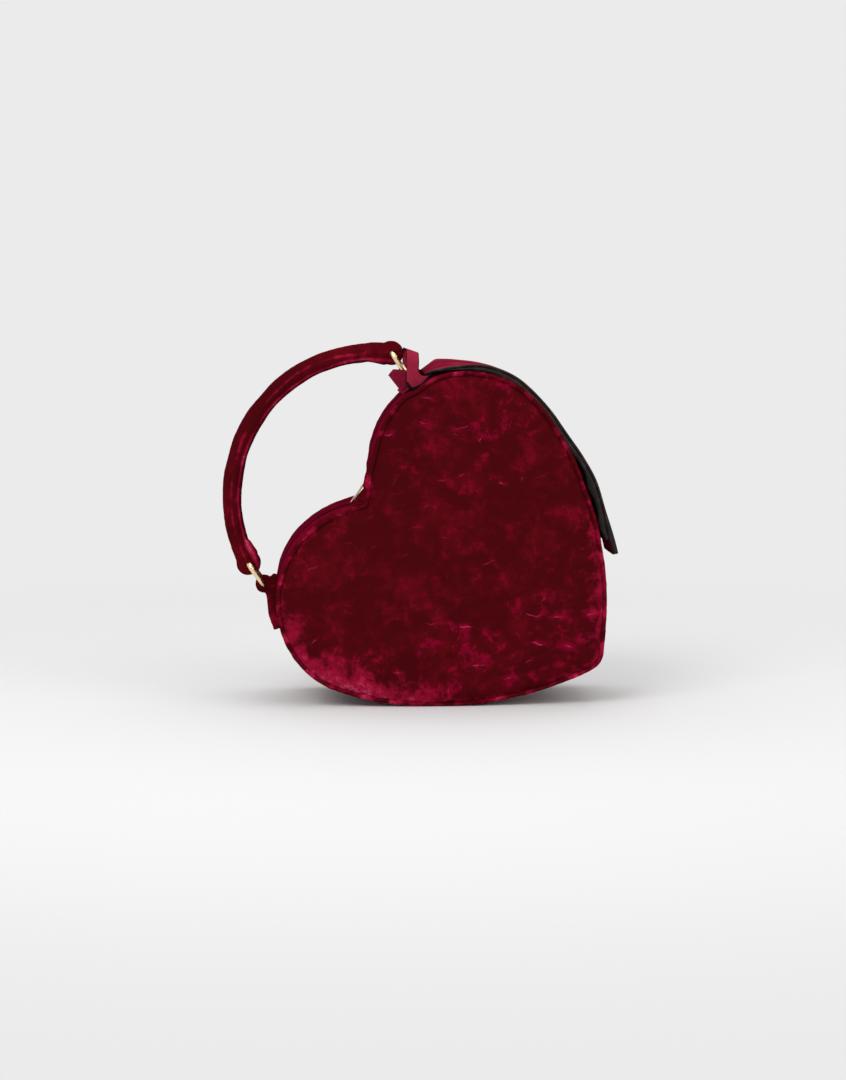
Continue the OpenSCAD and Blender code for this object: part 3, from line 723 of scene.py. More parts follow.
    def blend(self, share: object, first: object, second: object) -> bpy.types.NodeSocket:
        """Mixes two colours."""
        node = self.tree.nodes.new("ShaderNodeMix")
        node.data_type = "RGBA"
        self.put(node.inputs[0], share)
        self.put(node.inputs[6], first)
        self.put(node.inputs[7], second)
        return node.outputs[2]

    def stored(self, name: str) -> bpy.types.NodeSocket:
        """A number stored on the mesh."""
        node = self.tree.nodes.new("ShaderNodeAttribute")
        node.attribute_name = name
        return node.outputs["Fac"]

    def bump(self, *layers: tuple[object, float, float]) -> None:
        """Sets the surface's normal from layers of height, depth in millimetres and strength."""
        normal = None
        for height, depth, strength in layers:
            node = self.tree.nodes.new("ShaderNodeBump")
            node.inputs["Strength"].default_value = strength
            node.inputs["Distance"].default_value = depth * MM
            self.put(node.inputs["Height"], height)
            if normal is not None:
                self.put(node.inputs["Normal"], normal)
            normal = node.outputs["Normal"]
        self.put(self.surface.inputs["Normal"], normal)


Colour = tuple[float, float, float]


@dataclass(frozen=True)
class CrushedVelvet:
    """Deep red velvet whose pile lies in crushed patches, with painted highlights towards the seams and in short
    streaks.

    The mesh's "rim" attribute says how much painted highlight a place gets.
    """

    name: str = "crushed_velvet"
    deep: Colour = (0.063, 0.0026, 0.0046)
    wine: Colour = (0.104, 0.0032, 0.0066)
    ruby: Colour = (0.240, 0.0018, 0.0250)
    # Colours of the painted highlights, the brightest last.
    highlight_crimson: Colour = (0.31, 0.0060, 0.0340)
    highlight_blush: Colour = (0.50, 0.050, 0.118)
    patches: float = 30.0
    crush: float = 88.0
    pile: float = 1500.0
    highlight_lift: float = 0.0
    strokes: float = 1.0
    patches_and_glow: float = 1.0

    def make(self) -> bpy.types.Material:
        """Builds the material."""
        s = Shader(self.name)
        broad = s.noise(self.patches, 3.0, 0.55, 0.3)
        middle = s.noise(self.crush, 5.0, 0.64, 0.3)
        fine = s.noise(3.4 * self.crush, 4.0, 0.65, 0.3)
        rim = s.stored("rim")
        tone = s.math("ADD", s.math("MULTIPLY", broad, 0.45), s.math("MULTIPLY", middle, 0.55))
        base = s.blend(s.span(tone, 0.44, 0.62), self.deep, self.wine)
        level = s.warped(s.mapped((0.8, 0.3, 1.0), (0.0, 8.0, 0.0)), 70.0, 0.004)
        upright = s.warped(s.mapped((1.0, 0.3, 0.7), (0.0, 62.0, 0.0)), 90.0, 0.004)
        # Short strokes of painted highlight, where the crushed pile catches light along its creases, with a painted
        # glow round them.
        stroke, halo = s.dashes(62.0, 0.0032, 0.00055, 0.50, level)
        slant, slant_halo = s.dashes(50.0, 0.0022, 0.00055, 0.66, upright)
        gate = s.span(s.noise(13.0, 2.0, 0.5), 0.44, 0.56, 0.12, 0.85)
        stroke = s.math("MULTIPLY", s.math("MAXIMUM", stroke, slant), gate)
        halo = s.math("MULTIPLY", s.math("MAXIMUM", halo, slant_halo), gate)
        # Mid red: random lighter patches of the pile, and a painted glow round the highlight strokes.
        ragged = s.math("ADD", s.math("MULTIPLY", middle, 0.62), s.math("MULTIPLY", fine, 0.38))
        rough_patch = s.math("MULTIPLY", s.span(ragged, 0.520, 0.62), s.span(gate, 0.12, 0.85, 0.35, 1.0))
        patch_and_glow = s.math("MULTIPLY", rough_patch, s.span(broad, 0.40, 0.56))
        patch_and_glow = s.math("MAXIMUM", patch_and_glow, s.math("MULTIPLY", halo, s.span(ragged, 0.44, 0.56)))
        base = s.blend(s.math("MULTIPLY", patch_and_glow, self.patches_and_glow), base, self.ruby)
        # Painted highlight near the seams, from the rim attribute broken up by noise, and on the strokes.
        mottle = s.math("ADD", s.math("MULTIPLY", middle, 1.25), s.math("MULTIPLY", fine, 0.45))
        rim_highlight = s.span(s.math("ADD", rim, mottle), 1.18 - self.highlight_lift, 1.60 - self.highlight_lift)
        streak_highlight = s.math("MULTIPLY", stroke, self.strokes)
        lit = s.blend(s.math("MAXIMUM", rim_highlight, streak_highlight), base, self.highlight_crimson)
        # Brightest painted highlight: spots near the seams and on the strokes.
        rim_highlight_crest = s.span(s.math("ADD", rim, mottle), 1.48 - self.highlight_lift, 1.84 - self.highlight_lift)
        highlight_peak = s.math("MULTIPLY", s.span(fine, 0.42, 0.64), rim_highlight_crest)
        shine = s.math("MULTIPLY", s.math("MULTIPLY", streak_highlight, s.span(fine, 0.40, 0.60)), 0.6)
        s.set(
            Base_Color=s.blend(s.math("MAXIMUM", highlight_peak, shine), lit, self.highlight_blush),
            Roughness=0.8,
            Sheen_Weight=0.18,
            Sheen_Roughness=0.35,
            Sheen_Tint=(0.80, 0.0, 0.14),
            Specular_IOR_Level=0.0,
        )
        s.bump((middle, 1.2, 0.45), (streak_highlight, 0.5, 0.5), (s.noise(self.pile, 2.0, 0.6), 0.12, 0.5))
        return s.material


@dataclass(frozen=True)
class SmoothLeather:
    """Smooth finished leather with a faint grain and soft lighter streaks that run one way."""

    name: str
    colour: Colour
    worn: Colour
    roughness: float = 0.42
    grain: float = 1400.0
    edge: Colour | None = None

    def make(self) -> bpy.types.Material:
        """Builds the material; with an edge colour, the mesh's "edge" attribute brings that in."""
        s = Shader(self.name)
        broad = s.noise(150.0, 4.0, 0.6, 0.4, s.mapped((0.2, 1.0, 0.2)))
        grain = s.cells(self.grain, "F1")
        creases = s.noise(380.0, 5.0, 0.7, 1.0)
        face = s.blend(s.span(broad, 0.42, 0.68), self.colour, self.worn)
        if self.edge:
            face = s.blend(s.span(s.stored("edge"), 0.42, 0.58), face, self.edge)
        s.set(
            Base_Color=face,
            Roughness=s.span(creases, 0.3, 0.7, self.roughness - 0.06, self.roughness + 0.10),
            Specular_IOR_Level=0.0,
        )
        s.bump((grain, 0.05, 0.5), (creases, 0.06, 0.4), (broad, 0.5, 0.25))
        return s.material


@dataclass(frozen=True)
class PaintedEdge:
    """Cut edge of leather under dark edge paint."""

    name: str = "painted_edge"
    colour: Colour = (0.018, 0.014, 0.013)
    worn: Colour = (0.040, 0.034, 0.032)
    gloss: float = 0.12

    def make(self) -> bpy.types.Material:
        """Builds the material."""
        s = Shader(self.name)
        rub = s.noise(160.0, 4.0, 0.6)
        face = s.blend(s.span(rub, 0.45, 0.7), self.colour, self.worn)
        s.set(Base_Color=face, Roughness=0.5, Specular_IOR_Level=self.gloss)
        s.bump((s.noise(700.0, 3.0, 0.6), 0.08, 0.5))
        return s.material


@dataclass(frozen=True)
class Metal:
    """Plated metal with fine polishing marks."""

    name: str
    colour: Colour
    worn: Colour
    roughness: float

    def make(self) -> bpy.types.Material:
        """Builds the material."""
        s = Shader(self.name)
        haze = s.noise(320.0, 4.0, 0.6)
        marks = s.noise(900.0, 2.0, 0.5, 0.0, s.mapped((0.2, 1.0, 1.0), (0.0, 35.0, 0.0)))
        s.set(
            Base_Color=s.blend(s.span(haze, 0.4, 0.7), self.colour, self.worn),
            Metallic=1.0,
            Roughness=s.span(marks, 0.3, 0.7, self.roughness, self.roughness + 0.12),
        )
        s.bump((marks, 0.01, 0.3))
        return s.material


@dataclass(frozen=True)
class Woven:
    """Plain woven cloth, such as tape or lining."""

    name: str
    colour: Colour
    light: Colour
    threads: float = 420.0

    def make(self) -> bpy.types.Material:
        """Builds the material."""
        s = Shader(self.name)
        over = s.bands(self.threads, 0.6, "Y")
        cross = s.bands(self.threads, 0.6, "DIAGONAL")
        weave = s.math("MULTIPLY", over, cross)
        shade = s.noise(60.0, 3.0)
        tone = s.math("ADD", s.math("MULTIPLY", weave, 0.6), s.math("MULTIPLY", shade, 0.4))
        s.set(
            Base_Color=s.blend(tone, self.colour, self.light),
            Roughness=0.85,
            Sheen_Weight=0.15,
            Sheen_Roughness=0.5,
        )
        s.bump((weave, 0.15, 0.6))
        return s.material


@dataclass(frozen=True)
class GreyBoard:
    """Pressed grey board with visible fibres."""

    name: str = "grey_board"
    colour: Colour = (0.28, 0.25, 0.21)
    fibre: Colour = (0.42, 0.39, 0.34)

    def make(self) -> bpy.types.Material:
        """Builds the material."""
        s = Shader(self.name)
        fibres = s.noise(900.0, 4.0, 0.7, 1.5)
        s.set(Base_Color=s.blend(s.span(fibres, 0.4, 0.65), self.colour, self.fibre), Roughness=0.9)
        s.bump((fibres, 0.06, 0.5))
        return s.material


@dataclass
class Finishes:
    """The materials of the whole bag, made once."""

    velvet: bpy.types.Material = field(default_factory=lambda: CrushedVelvet().make())
    # Copies of the velvet with more painted highlight on the handle and less on the sides, and no highlight strokes on
    # either.
    handle_velvet: bpy.types.Material = field(
        default_factory=lambda: CrushedVelvet(
            name="handle_velvet", crush=70.0, highlight_lift=0.06, strokes=0.0, patches_and_glow=0.5
        ).make()
    )
    side_velvet: bpy.types.Material = field(
        default_factory=lambda: CrushedVelvet(name="side_velvet", highlight_lift=-0.04, strokes=0.0, patches_and_glow=0.8).make()
    )
    leather: bpy.types.Material = field(
        default_factory=lambda: SmoothLeather("burgundy_leather", (0.18, 0.0075, 0.024), (0.36, 0.026, 0.064)).make()
    )
    strap_leather: bpy.types.Material = field(
        default_factory=lambda: SmoothLeather(
            "burgundy_strap", (0.29, 0.017, 0.045), (0.37, 0.026, 0.060), edge=(0.012, 0.009, 0.010)
        ).make()
    )
    suede: bpy.types.Material = field(
        default_factory=lambda: SmoothLeather("dark_suede", (0.022, 0.006, 0.007), (0.045, 0.010, 0.013), 0.8).make()
    )
    edge: bpy.types.Material = field(default_factory=lambda: PaintedEdge().make())
    gold: bpy.types.Material = field(
        default_factory=lambda: Metal("pale_gold", (0.86, 0.70, 0.42), (0.78, 0.60, 0.34), 0.16).make()
    )
    # Dark red on the zip's metal: painted shade in the slot and a painted reflection of the red velvet.
    zip_metal: bpy.types.Material = field(
        default_factory=lambda: PaintedEdge("zip_metal_painted_shade", (0.040, 0.002, 0.005), (0.070, 0.004, 0.009), 0.0).make()
    )
    tape: bpy.types.Material = field(
        default_factory=lambda: Woven("zip_tape_weave", (0.030, 0.0015, 0.004), (0.07, 0.003, 0.010)).make()
    )
    lining: bpy.types.Material = field(
        default_factory=lambda: Woven("lining_weave", (0.06, 0.010, 0.014), (0.12, 0.022, 0.030), 300.0).make()
    )
    board: bpy.types.Material = field(default_factory=lambda: GreyBoard().make())


def dress(piece: bpy.types.Object, *materials: bpy.types.Material) -> None:
    """Gives a piece its materials in place of those it has."""
    piece.data.materials.clear()
    for material in materials:
        piece.data.materials.append(material)


# ---------------------------------------------------------------- velvet bag


def rim_painted_highlight(across: float, up: float, distance: float) -> float:
    """How strong the painted highlight of the pile is near the seam at a point of a face.

    Args:
        across: Across the heart.
        up: Up the heart's axis.
        distance: Distance inside the outline.

    Returns:
        From 0 in the middle to about 1 at the seam of the lower left lobe.
    """
    lean = math.radians(PLAN.lean)
    right = across * math.cos(lean) - up * math.sin(lean)
    high = across * math.sin(lean) + up * math.cos(lean)
    way = math.degrees(math.atan2(high + 6.0, right - 4.0))
    # Painted highlight strongest at the lower left seam, weaker at the lower right and the top left.
    low_left = math.exp(-(((way + 118.0) / 42.0) ** 2))
    low_right = 0.62 * math.exp(-(((way + 18.0) / 40.0) ** 2))
    top_left = 0.30 * math.exp(-(((way - 172.0) / 16.0) ** 2))
    side = max(low_left, low_right, top_left)
    band = math.exp(-distance / (5.0 + 16.0 * side))
    return band * (0.30 + 0.72 * side)


@dataclass
class FacePanel:
    """Padded velvet face of the bag, over its wadding.

    Attributes:
        side: The face it is.
        finishes: Materials of the bag.
        rim_y: Depth of the rim's outer surface.
        base: How far its back lies behind the rim.
        crown: How far its middle stands proud of the rim.
        inset: Distance from the heart's outline to its rim.
        cell: Side of a face of its mesh.
    """

    side: Side
    finishes: Finishes
    rim_y: float = 40.0
    base: float = 2.0
    crown: float = 4.0
    inset: float = 2.0
    cell: float = 2.6

    def swell(self, distance: float) -> float:
        """Share of the crown at a distance inside the rim."""
        return 1.0 - 0.80 * math.exp(-distance / 2.2) - 0.40 * math.exp(-distance / 12.0)

    def crease(self, point: Vector, distance: float, along: float) -> float:
        """Height of the pile's creases and of the seam's puckers at a point."""
        flat = Vector((point.x, 40.0 * self.side.value, point.z))
        lean = math.radians(PLAN.lean)
        level = Vector((
            flat.x * math.cos(lean) - flat.z * math.sin(lean),
            flat.y,
            2.2 * (flat.x * math.sin(lean) + flat.z * math.cos(lean)),
        ))
        soft = 0.55 * wave(flat, 30.0, 3.1) + 0.30 * wave(flat, 12.0, 7.7)
        ridge = max(0.0, 1.0 - 6.0 * abs(wave(level, 26.0, 1.3))) * smooth_step(wave(flat, 34.0, 5.0), 0.0, 0.35)
        pucker = wave(Vector((along, 0.0, distance * 0.2)), 5.5, 11.0) * math.exp(-distance / 7.0)
        inner = smooth_step(distance, 0.0, 9.0)
        return (soft + 0.45 * ridge) * inner + 1.1 * pucker * smooth_step(distance, -1.0, 2.0)

    def build(self) -> bpy.types.Object:
        """Builds the face as a closed pad."""
        pad = Pattern()
        ring = pad.line([(x, -self.rim_y + self.base, y) for x, y in PLAN.outline(self.inset, 1.2)], closed=True)
        face = pad.bm.faces.new([v for v in ring if isinstance(v, bmesh.types.BMVert)])
        made = bmesh.ops.extrude_face_region(pad.bm, geom=[face])
        top = [v for v in made["geom"] if isinstance(v, bmesh.types.BMVert)]
        bmesh.ops.translate(pad.bm, vec=(0.0, -self.base - self.crown, 0.0), verts=top)
        if self.side is Side.BACK:
            pad.mirror_depth()
        name = f"{self.side.name.lower()}_velvet_face"
        piece = pad.piece(name)
        remesh(piece, self.cell)
        self.shape(piece)
        swell(piece, self.hold, 4.0, 1.6)
        subdivide(piece)
        self.pucker(piece)
        paint(piece, "rim", self.painted_highlight)
        rest_on_floor(piece)
        dress(piece, self.finishes.velvet)
        nodes = [f"{self.side.name.lower()}_{part}" for part in ("panel", "wadding")]
        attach(piece, "root")
        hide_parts(*nodes)
        return piece

    def painted_highlight(self, point: Vector) -> float:
        """Painted highlight of the pile at a point, strongest near the seam."""
        distance, _ = RIM.find(point.x, point.z)
        return rim_painted_highlight(point.x, point.z, distance)

    def shape(self, piece: bpy.types.Object) -> None:
        """Rounds the flat pad into a crowned one."""
        stand = PLAN.stand()
        back = stand.inverted()
        for vert in piece.data.vertices:
            point = back @ vert.co
            inner = max(0.0, RIM.find(point.x, point.z)[0] - self.inset)
            height = self.base + self.crown * self.swell(inner)
            point.y = self.side.value * (self.rim_y - self.base + self.share(point) * height)
            vert.co = stand @ point

    def share(self, point: Vector) -> float:
        """0 on the pad's back and 1 on its outside, while it is still flat."""
        return min(1.0, max(0.0, (abs(point.y) - self.rim_y + self.base) / (self.base + self.crown)))

    def hold(self, place: Vector) -> float:
        """How firmly the seam and the board hold the velvet at a place in the row frame."""
        point = PLAN.stand().inverted() @ place
        inner = RIM.find(point.x, point.z)[0] - self.inset
        free = smooth_step(inner, 1.5, 9.0) * smooth_step(abs(point.y), self.rim_y - 1.0, self.rim_y + 1.0)
        return 1.0 - free

    def pucker(self, piece: bpy.types.Object) -> None:
        """Adds the creases of the pile and the puckers of the seam, and lets the outline wander."""
        stand = PLAN.stand()
        back = stand.inverted()
        for vert in piece.data.vertices:
            point = back @ vert.co
            distance, along = RIM.find(point.x, point.z)
            outside = smooth_step(abs(point.y), self.rim_y - 1.6, self.rim_y - 0.4)
            inner = max(0.0, distance - self.inset)
            point.y += self.side.value * outside * self.crease(point, inner, along)
            vert.co = stand @ slump(point)


@dataclass
class SeamWelt:
    """Thin velvet covered cord in the seam round one face."""

    side: Side
    finishes: Finishes
    depth: float = 38.9
    radius: float = 1.4
    inset: float = 1.15
    sides: int = 12

    def build(self) -> bpy.types.Object:
        """Builds the cord all round the heart."""
        cord = Pattern()
        low = PLAN.cleft_c[1] - PLAN.cleft_r - self.inset
        turns = [2.0 * math.pi * i / self.sides for i in range(self.sides)]
        ring = cord.line(
            [(0.0, -self.depth + self.radius * math.sin(t), low + self.radius * math.cos(t)) for t in turns],
            closed=True,
        )
        cord.sweep(ring, PLAN.half(self.inset), 1.3)
        cord.mirror_across()
        if self.side is Side.BACK:
            cord.mirror_depth()
        cord.move(slump)
        piece = cord.piece(f"{self.side.name.lower()}_velvet_welt")
        ruffle(piece, self.gather)
        paint(piece, "rim", self.painted_highlight)
        rest_on_floor(piece)
        dress(piece, self.finishes.velvet)
        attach(piece, "root")
        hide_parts(f"{self.side.name.lower()}_welt")
        return piece

    def painted_highlight(self, point: Vector) -> float:
        """Painted highlight of the cord's pile: broken highlights along the seam."""
        _, along = RIM.find(point.x, point.z)
        broken = smooth_step(wave(Vector((along, 0.0, 0.0)), 9.0, 14.0), -0.1, 0.35)
        return 0.06 + 0.42 * rim_painted_highlight(point.x, point.z, 0.0) + 0.36 * broken

    def gather(self, point: Vector, normal: Vector) -> float:
        """Small gathers of the cord's cover."""
        _, along = RIM.find(point.x, point.z)
        return 0.22 * wave(Vector((along, point.y, 0.0)), 3.4, 2.0) + 0.12 * wave(point, 9.0, 4.0)


@dataclass
class Gusset:
    """Velvet strip round the sides and the point of the bag, over its board."""

    finishes: Finishes
    half_width: float = 36.7
    thickness: float = 1.2
    end_angle: float = 60.0
    columns: int = 36

    def build(self) -> bpy.types.Object:
        """Builds the strip."""
        strip = Pattern()
        start = PLAN.lobe_arc(0.0, self.end_angle, -PLAN.side_turn)
        across, up = start.point(self.end_angle)
        widths = [self.half_width * (2.0 * i / self.columns - 1.0) for i in range(self.columns + 1)]
        ring = strip.line([(across, y, up) for y in widths])
        strip.sweep(ring, [start, *PLAN.lower_arcs(0.0)], 2.0)
        strip.mirror_across()
        strip.thicken(self.thickness)
        strip.move(slump)
        piece = strip.piece("gusset_velvet")
        ruffle(piece, self.wrinkle)
        # Painted highlight of the pile beside the seams.
        paint(piece, "rim", lambda p: 0.02 + 0.4 * smooth_step(abs(p.y), 24.0, self.half_width))
        rest_on_floor(piece)
        dress(piece, self.finishes.side_velvet)
        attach(piece, "root")
        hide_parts("base_gusset")
        return piece

    def wrinkle(self, point: Vector, normal: Vector) -> float:
        """Soft wrinkles of the strip, deeper beside the seams."""
        _, along = RIM.find(point.x, point.z)
        edge = smooth_step(abs(point.y), 24.0, self.half_width)
        pucker = 0.30 * edge * wave(Vector((along, point.y * 0.3, 0.0)), 5.0, 6.0)
        return pucker + 0.22 * wave(point, 16.0, 9.0) - 0.12


@dataclass
class ZipStrip:
    """Velvet strip beside the zip's teeth, with a turned edge."""

    side: Side
    finishes: Finishes
    slot: float = 4.0
    half_width: float = 36.7
    thickness: float = 1.2
    end_angle: float = 60.0
    hem_depths: tuple[float, ...] = (4.0, 4.15, 4.7, 5.6, 6.6, 7.2)
    hem_rises: tuple[float, ...] = (-0.55, -0.2, 0.0, 0.02, -0.05, -0.12)

    def arcs(self, inset: float) -> list[Arc]:
        """Arcs of the strip's right half, from the notch."""
        return [PLAN.notch_arc(inset), PLAN.lobe_arc(inset, PLAN.cleft_turn, self.end_angle)]

    def build(self) -> bpy.types.Object:
        """Builds the strip."""
        strip = Pattern()
        low = PLAN.cleft_c[1] - PLAN.cleft_r
        wide = [self.hem_depths[-1] + (self.half_width - self.hem_depths[-1]) * i / 15 for i in range(1, 16)]
        profile = [*zip(self.hem_depths, self.hem_rises), *[(y, 0.0) for y in wide]]
        ring = strip.line([(0.0, -y, low + rise) for y, rise in profile])
        strip.sweep(ring, self.arcs(0.0), 1.6)
        strip.mirror_across()
        if self.side is Side.BACK:
            strip.mirror_depth()
        strip.thicken(self.thickness)
        strip.move(slump)
        piece = strip.piece(f"{self.side.name.lower()}_zip_velvet")
        ruffle(piece, self.wrinkle)
        # Painted highlight of the pile beside the seam.
        paint(piece, "rim", lambda p: 0.40 * smooth_step(abs(p.y), 28.0, self.half_width))
        dress(piece, self.finishes.side_velvet)
        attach(piece, "root")
        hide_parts(f"{self.side.name.lower()}_zip_strip")
        length = 2.0 * sum(arc.length for arc in self.arcs(0.0))
        return piece

    def wrinkle(self, point: Vector, normal: Vector) -> float:
        """Wrinkles of the strip, strongest in the notch and beside the seam."""
        _, along = RIM.find(point.x, point.z)
        notch = math.exp(-((point.x / 17.0) ** 2))
        edge = smooth_step(abs(point.y), 9.0, self.half_width)
        pucker = 0.42 * edge * wave(Vector((along, point.y * 0.25, 0.0)), 4.4, 8.0)
        puff = 1.2 * notch * smooth_step(abs(point.y), 7.0, 20.0) * self.outward(point, normal)
        return (1.0 + 1.2 * notch) * (pucker + 0.20 * edge * wave(point, 13.0, 1.0)) - 0.08 + puff

    def outward(self, point: Vector, normal: Vector) -> float:
        """1 where the normal points out of the bag, and -1 where it points in."""
        out = Vector((point.x, 0.0, point.z)) - Vector((math.copysign(PLAN.lobe_x, point.x), 0.0, 0.0))
        if abs(point.x) < 8.0:
            out = Vector((0.0, 0.0, 1.0))
        return 1.0 if out.dot(normal) > 0.0 else -1.0


@dataclass
class LooseLining:
    """Thin woven lining of one part of the inside, made over its CAD solid."""

    node: str
    flat: tuple[float, float]
    area: float | None
    finishes: Finishes

    def build(self) -> bpy.types.Object:
        """Builds the lining piece."""
        piece = copy_of(self.node, f"{self.node}_cloth")
        dress(piece, self.finishes.lining)
        round_edges(piece, 0.15, 2)
        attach(piece, "root")
        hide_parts(self.node)
        return piece


@dataclass
class VelvetTab:
    """Velvet tab that holds a ring on the bag."""

    node: str
    finishes: Finishes
    neck: tuple[tuple[float, float], ...]
    half_width: float = 5.0
    cell: float = 0.45

    def build(self) -> bpy.types.Object:
        """Builds the tab as one soft fold of velvet."""
        made = Pattern()
        made.bm.from_mesh(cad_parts[self.node].data)
        bmesh.ops.transform(made.bm, matrix=PLAN.stand().inverted(), verts=made.bm.verts[:])
        bmesh.ops.remove_doubles(made.bm, verts=made.bm.verts[:], dist=0.01)
        line = made.line([(x, -self.half_width, z) for x, z in self.neck], closed=True)
        face = made.bm.faces.new([v for v in line if isinstance(v, bmesh.types.BMVert)])
        grown = bmesh.ops.extrude_face_region(made.bm, geom=[face])
        moved = [v for v in grown["geom"] if isinstance(v, bmesh.types.BMVert)]
        bmesh.ops.translate(made.bm, vec=(0.0, 2.0 * self.half_width, 0.0), verts=moved)
        piece = made.piece(f"{self.node}_velvet")
        remesh(piece, self.cell)
        relax(piece, 4)
        ruffle(piece, lambda p, n: 0.22 * wave(p, 3.6, 2.2) + 0.18 * wave(p, 8.0, 5.1))
        # Painted highlight of the pile, stronger at the tab's edges.
        paint(piece, "rim", lambda p: 0.10 + 0.25 * smooth_step(abs(p.y), 3.0, 5.0))
        dress(piece, self.finishes.side_velvet)
        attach(piece, "root")
        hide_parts(self.node)
        return piece


# ---------------------------------------------------------------- handle


@dataclass
class Handle:
    """Padded velvet handle: a tube along one arc, folded round a ring at each end."""

    finishes: Finishes
    centre: tuple[float, float] = (2.395, 31.443)
    radius: float = 86.37
    cell: float = 0.65

    def build(self) -> bpy.types.Object:
        """Builds the handle from its cover and ends as one soft skin."""
        bm = bmesh.new()
        for node in ("handle_cover", "handle_core", "lower_handle_end", "upper_handle_end"):
            bm.from_mesh(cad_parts[node].data)
        bmesh.ops.remove_doubles(bm, verts=bm.verts[:], dist=0.01 * MM)
        mesh = bpy.data.meshes.new("handle_velvet")
        bm.to_mesh(mesh)
        bm.free()
        piece = bpy.data.objects.new("handle_velvet", mesh)
        bpy.context.scene.collection.objects.link(piece)
        remesh(piece, self.cell)
        relax(piece, 6)
        ruffle(piece, self.wrinkle)
        paint(piece, "rim", self.painted_highlight)
        dress(piece, self.finishes.handle_velvet)
        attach(piece, "handle")
        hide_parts("handle_cover", "handle_core", "lower_handle_end", "upper_handle_end")
        return piece

    def polar(self, point: Vector) -> tuple[float, float]:
        """Run along the handle's arc and offset from its middle line at a point."""
        dx, dz = point.x - self.centre[0], point.z - self.centre[1]
        return math.atan2(dz, dx) * self.radius, math.hypot(dx, dz) - self.radius

    def wrinkle(self, point: Vector, normal: Vector) -> float:
        """Long soft creases of the tube."""
        run, off = self.polar(point)
        turn = math.atan2(point.y, off)
        lengthwise = wave(Vector((run * 0.16, 3.0 * math.cos(turn), 3.0 * math.sin(turn))), 2.0, 5.0)
        lumps = wave(Vector((run, off, point.y)), 17.0, 2.0)
        return 0.38 * lengthwise + 0.35 * lumps + 0.12 * wave(point, 3.0, 8.0)

    def painted_highlight(self, point: Vector) -> float:
        """Painted highlight of the pile in two bands along the tube's creases, broken up along its length."""
        run, off = self.polar(point)
        turn = math.degrees(math.atan2(point.y, off))
        line = Vector((run, 0.0, 0.0))
        inner = bump(turn, -132.0, 13.0) * (0.62 + 0.5 * wave(line, 26.0, 3.0))
        middle = bump(turn, -84.0 + 16.0 * wave(line, 40.0, 8.0), 11.0) * (0.30 + 0.5 * wave(line, 22.0, 12.0))
        return 0.10 + 0.95 * max(0.0, inner) + 1.15 * max(0.0, middle)


# ---------------------------------------------------------------- leather


@dataclass(frozen=True)
class TagPath:
    """The hanging tag's middle line: bends that turn to the right, one after the other.

    Attributes:
        fold_angle: Angle on the right lobe where the tag folds from its neck.
        fold_radius: Distance of the fold from the lobe's centre.
        bends: Radius and turn of each bend, in millimetres and degrees.
    """

    fold_angle: float = 59.5
    fold_radius: float = 57.55
    bends: tuple[tuple[float, float], ...] = ((72.192, 31.0), (42.864, 32.0), (93.06, 18.0), (238.0, 21.128))

    def arcs(self) -> list[Arc]:
        """The bends as arcs, from the fold to the tail."""
        turn = math.radians(self.fold_angle)
        x = PLAN.lobe_x + self.fold_radius * math.cos(turn)
        z = self.fold_radius * math.sin(turn)
        heading = self.fold_angle - 90.0
        found = []
        for radius, bend in self.bends:
            way = math.radians(heading)
            centre = (x + radius * math.sin(way), z - radius * math.cos(way))
            arc = Arc(centre, radius, heading + 90.0, heading - bend + 90.0)
            found.append(arc)
            x, z = arc.point(arc.end)
            heading -= bend
        return found

    def locate(self, point: Vector) -> tuple[float, Vector]:
        """Length along the path, and the way outwards, at a point near it."""
        run = 0.0
        best = (math.inf, 0.0, Vector((0.0, 0.0, 1.0)))
        for arc in self.arcs():
            away = Vector((point.x - arc.centre[0], 0.0, point.z - arc.centre[1]))
            angle = math.degrees(math.atan2(away.z, away.x))
            inside = min(arc.start, max(arc.end, angle))
            near = arc.point(inside)
            gap = math.dist(near, (point.x, point.z))
            if gap < best[0]:
                best = (gap, run + math.radians(arc.start - inside) * arc.radius, away.normalized())
            run += arc.length
        return best[1], best[2]


    def point_at(self, run: float) -> tuple[float, float]:
        """Point of the middle line at a length along it."""
        for arc in self.arcs():
            if run <= arc.length + 1e-6:
                break
            run -= arc.length
        return arc.point(arc.start - math.degrees(run / arc.radius))


@dataclass
class Ribbon:
    """Flat layer of leather along arcs, with rounded edges.

    Attributes:
        name: Name of its object.
        arcs: Arcs of its path.
        half_width: Half its width.
        low: Height of its underside over the path.
        high: Height of its top over the path.
        columns: Faces across it.
    """

    name: str
    arcs: list[Arc]
    half_width: float
    low: float
    high: float
    columns: int = 20

    def outline(self) -> list[tuple[float, float]]:
        """Cross section as depth and height, all the way round."""
        middle = 0.5 * (self.low + self.high)
        bulge = 0.5 * (self.high - self.low)
        wide = self.half_width - bulge
        ways = [2.0 * i / self.columns - 1.0 for i in range(self.columns + 1)]
        rounds = [math.radians(a) for a in (60.0, 30.0, 0.0, -30.0, -60.0)]
        top = [(wide * w, self.high) for w in ways]
        right = [(wide + bulge * math.cos(a), middle + bulge * math.sin(a)) for a in rounds]
        under = [(-wide * w, self.low) for w in ways]
        left = [(-wide - bulge * math.cos(a), middle - bulge * math.sin(a)) for a in rounds]
        return [*top, *right, *under, *left]

    def pattern(self, step: float = 1.5) -> Pattern:
        """Sweeps the cross section along the arcs and closes both ends."""
        made = Pattern()
        first = self.arcs[0]
        turn = math.radians(first.start)
        points = []
        for depth, height in self.outline():
            reach = first.radius + height
            points.append((
                first.centre[0] + reach * math.cos(turn), depth, first.centre[1] + reach * math.sin(turn)
            ))
        ring = made.line(points, closed=True)
        last = made.sweep(ring, self.arcs, step)
        for loop in (ring, last):
            made.bm.faces.new([item for item in loop if isinstance(item, bmesh.types.BMVert)])
        return made


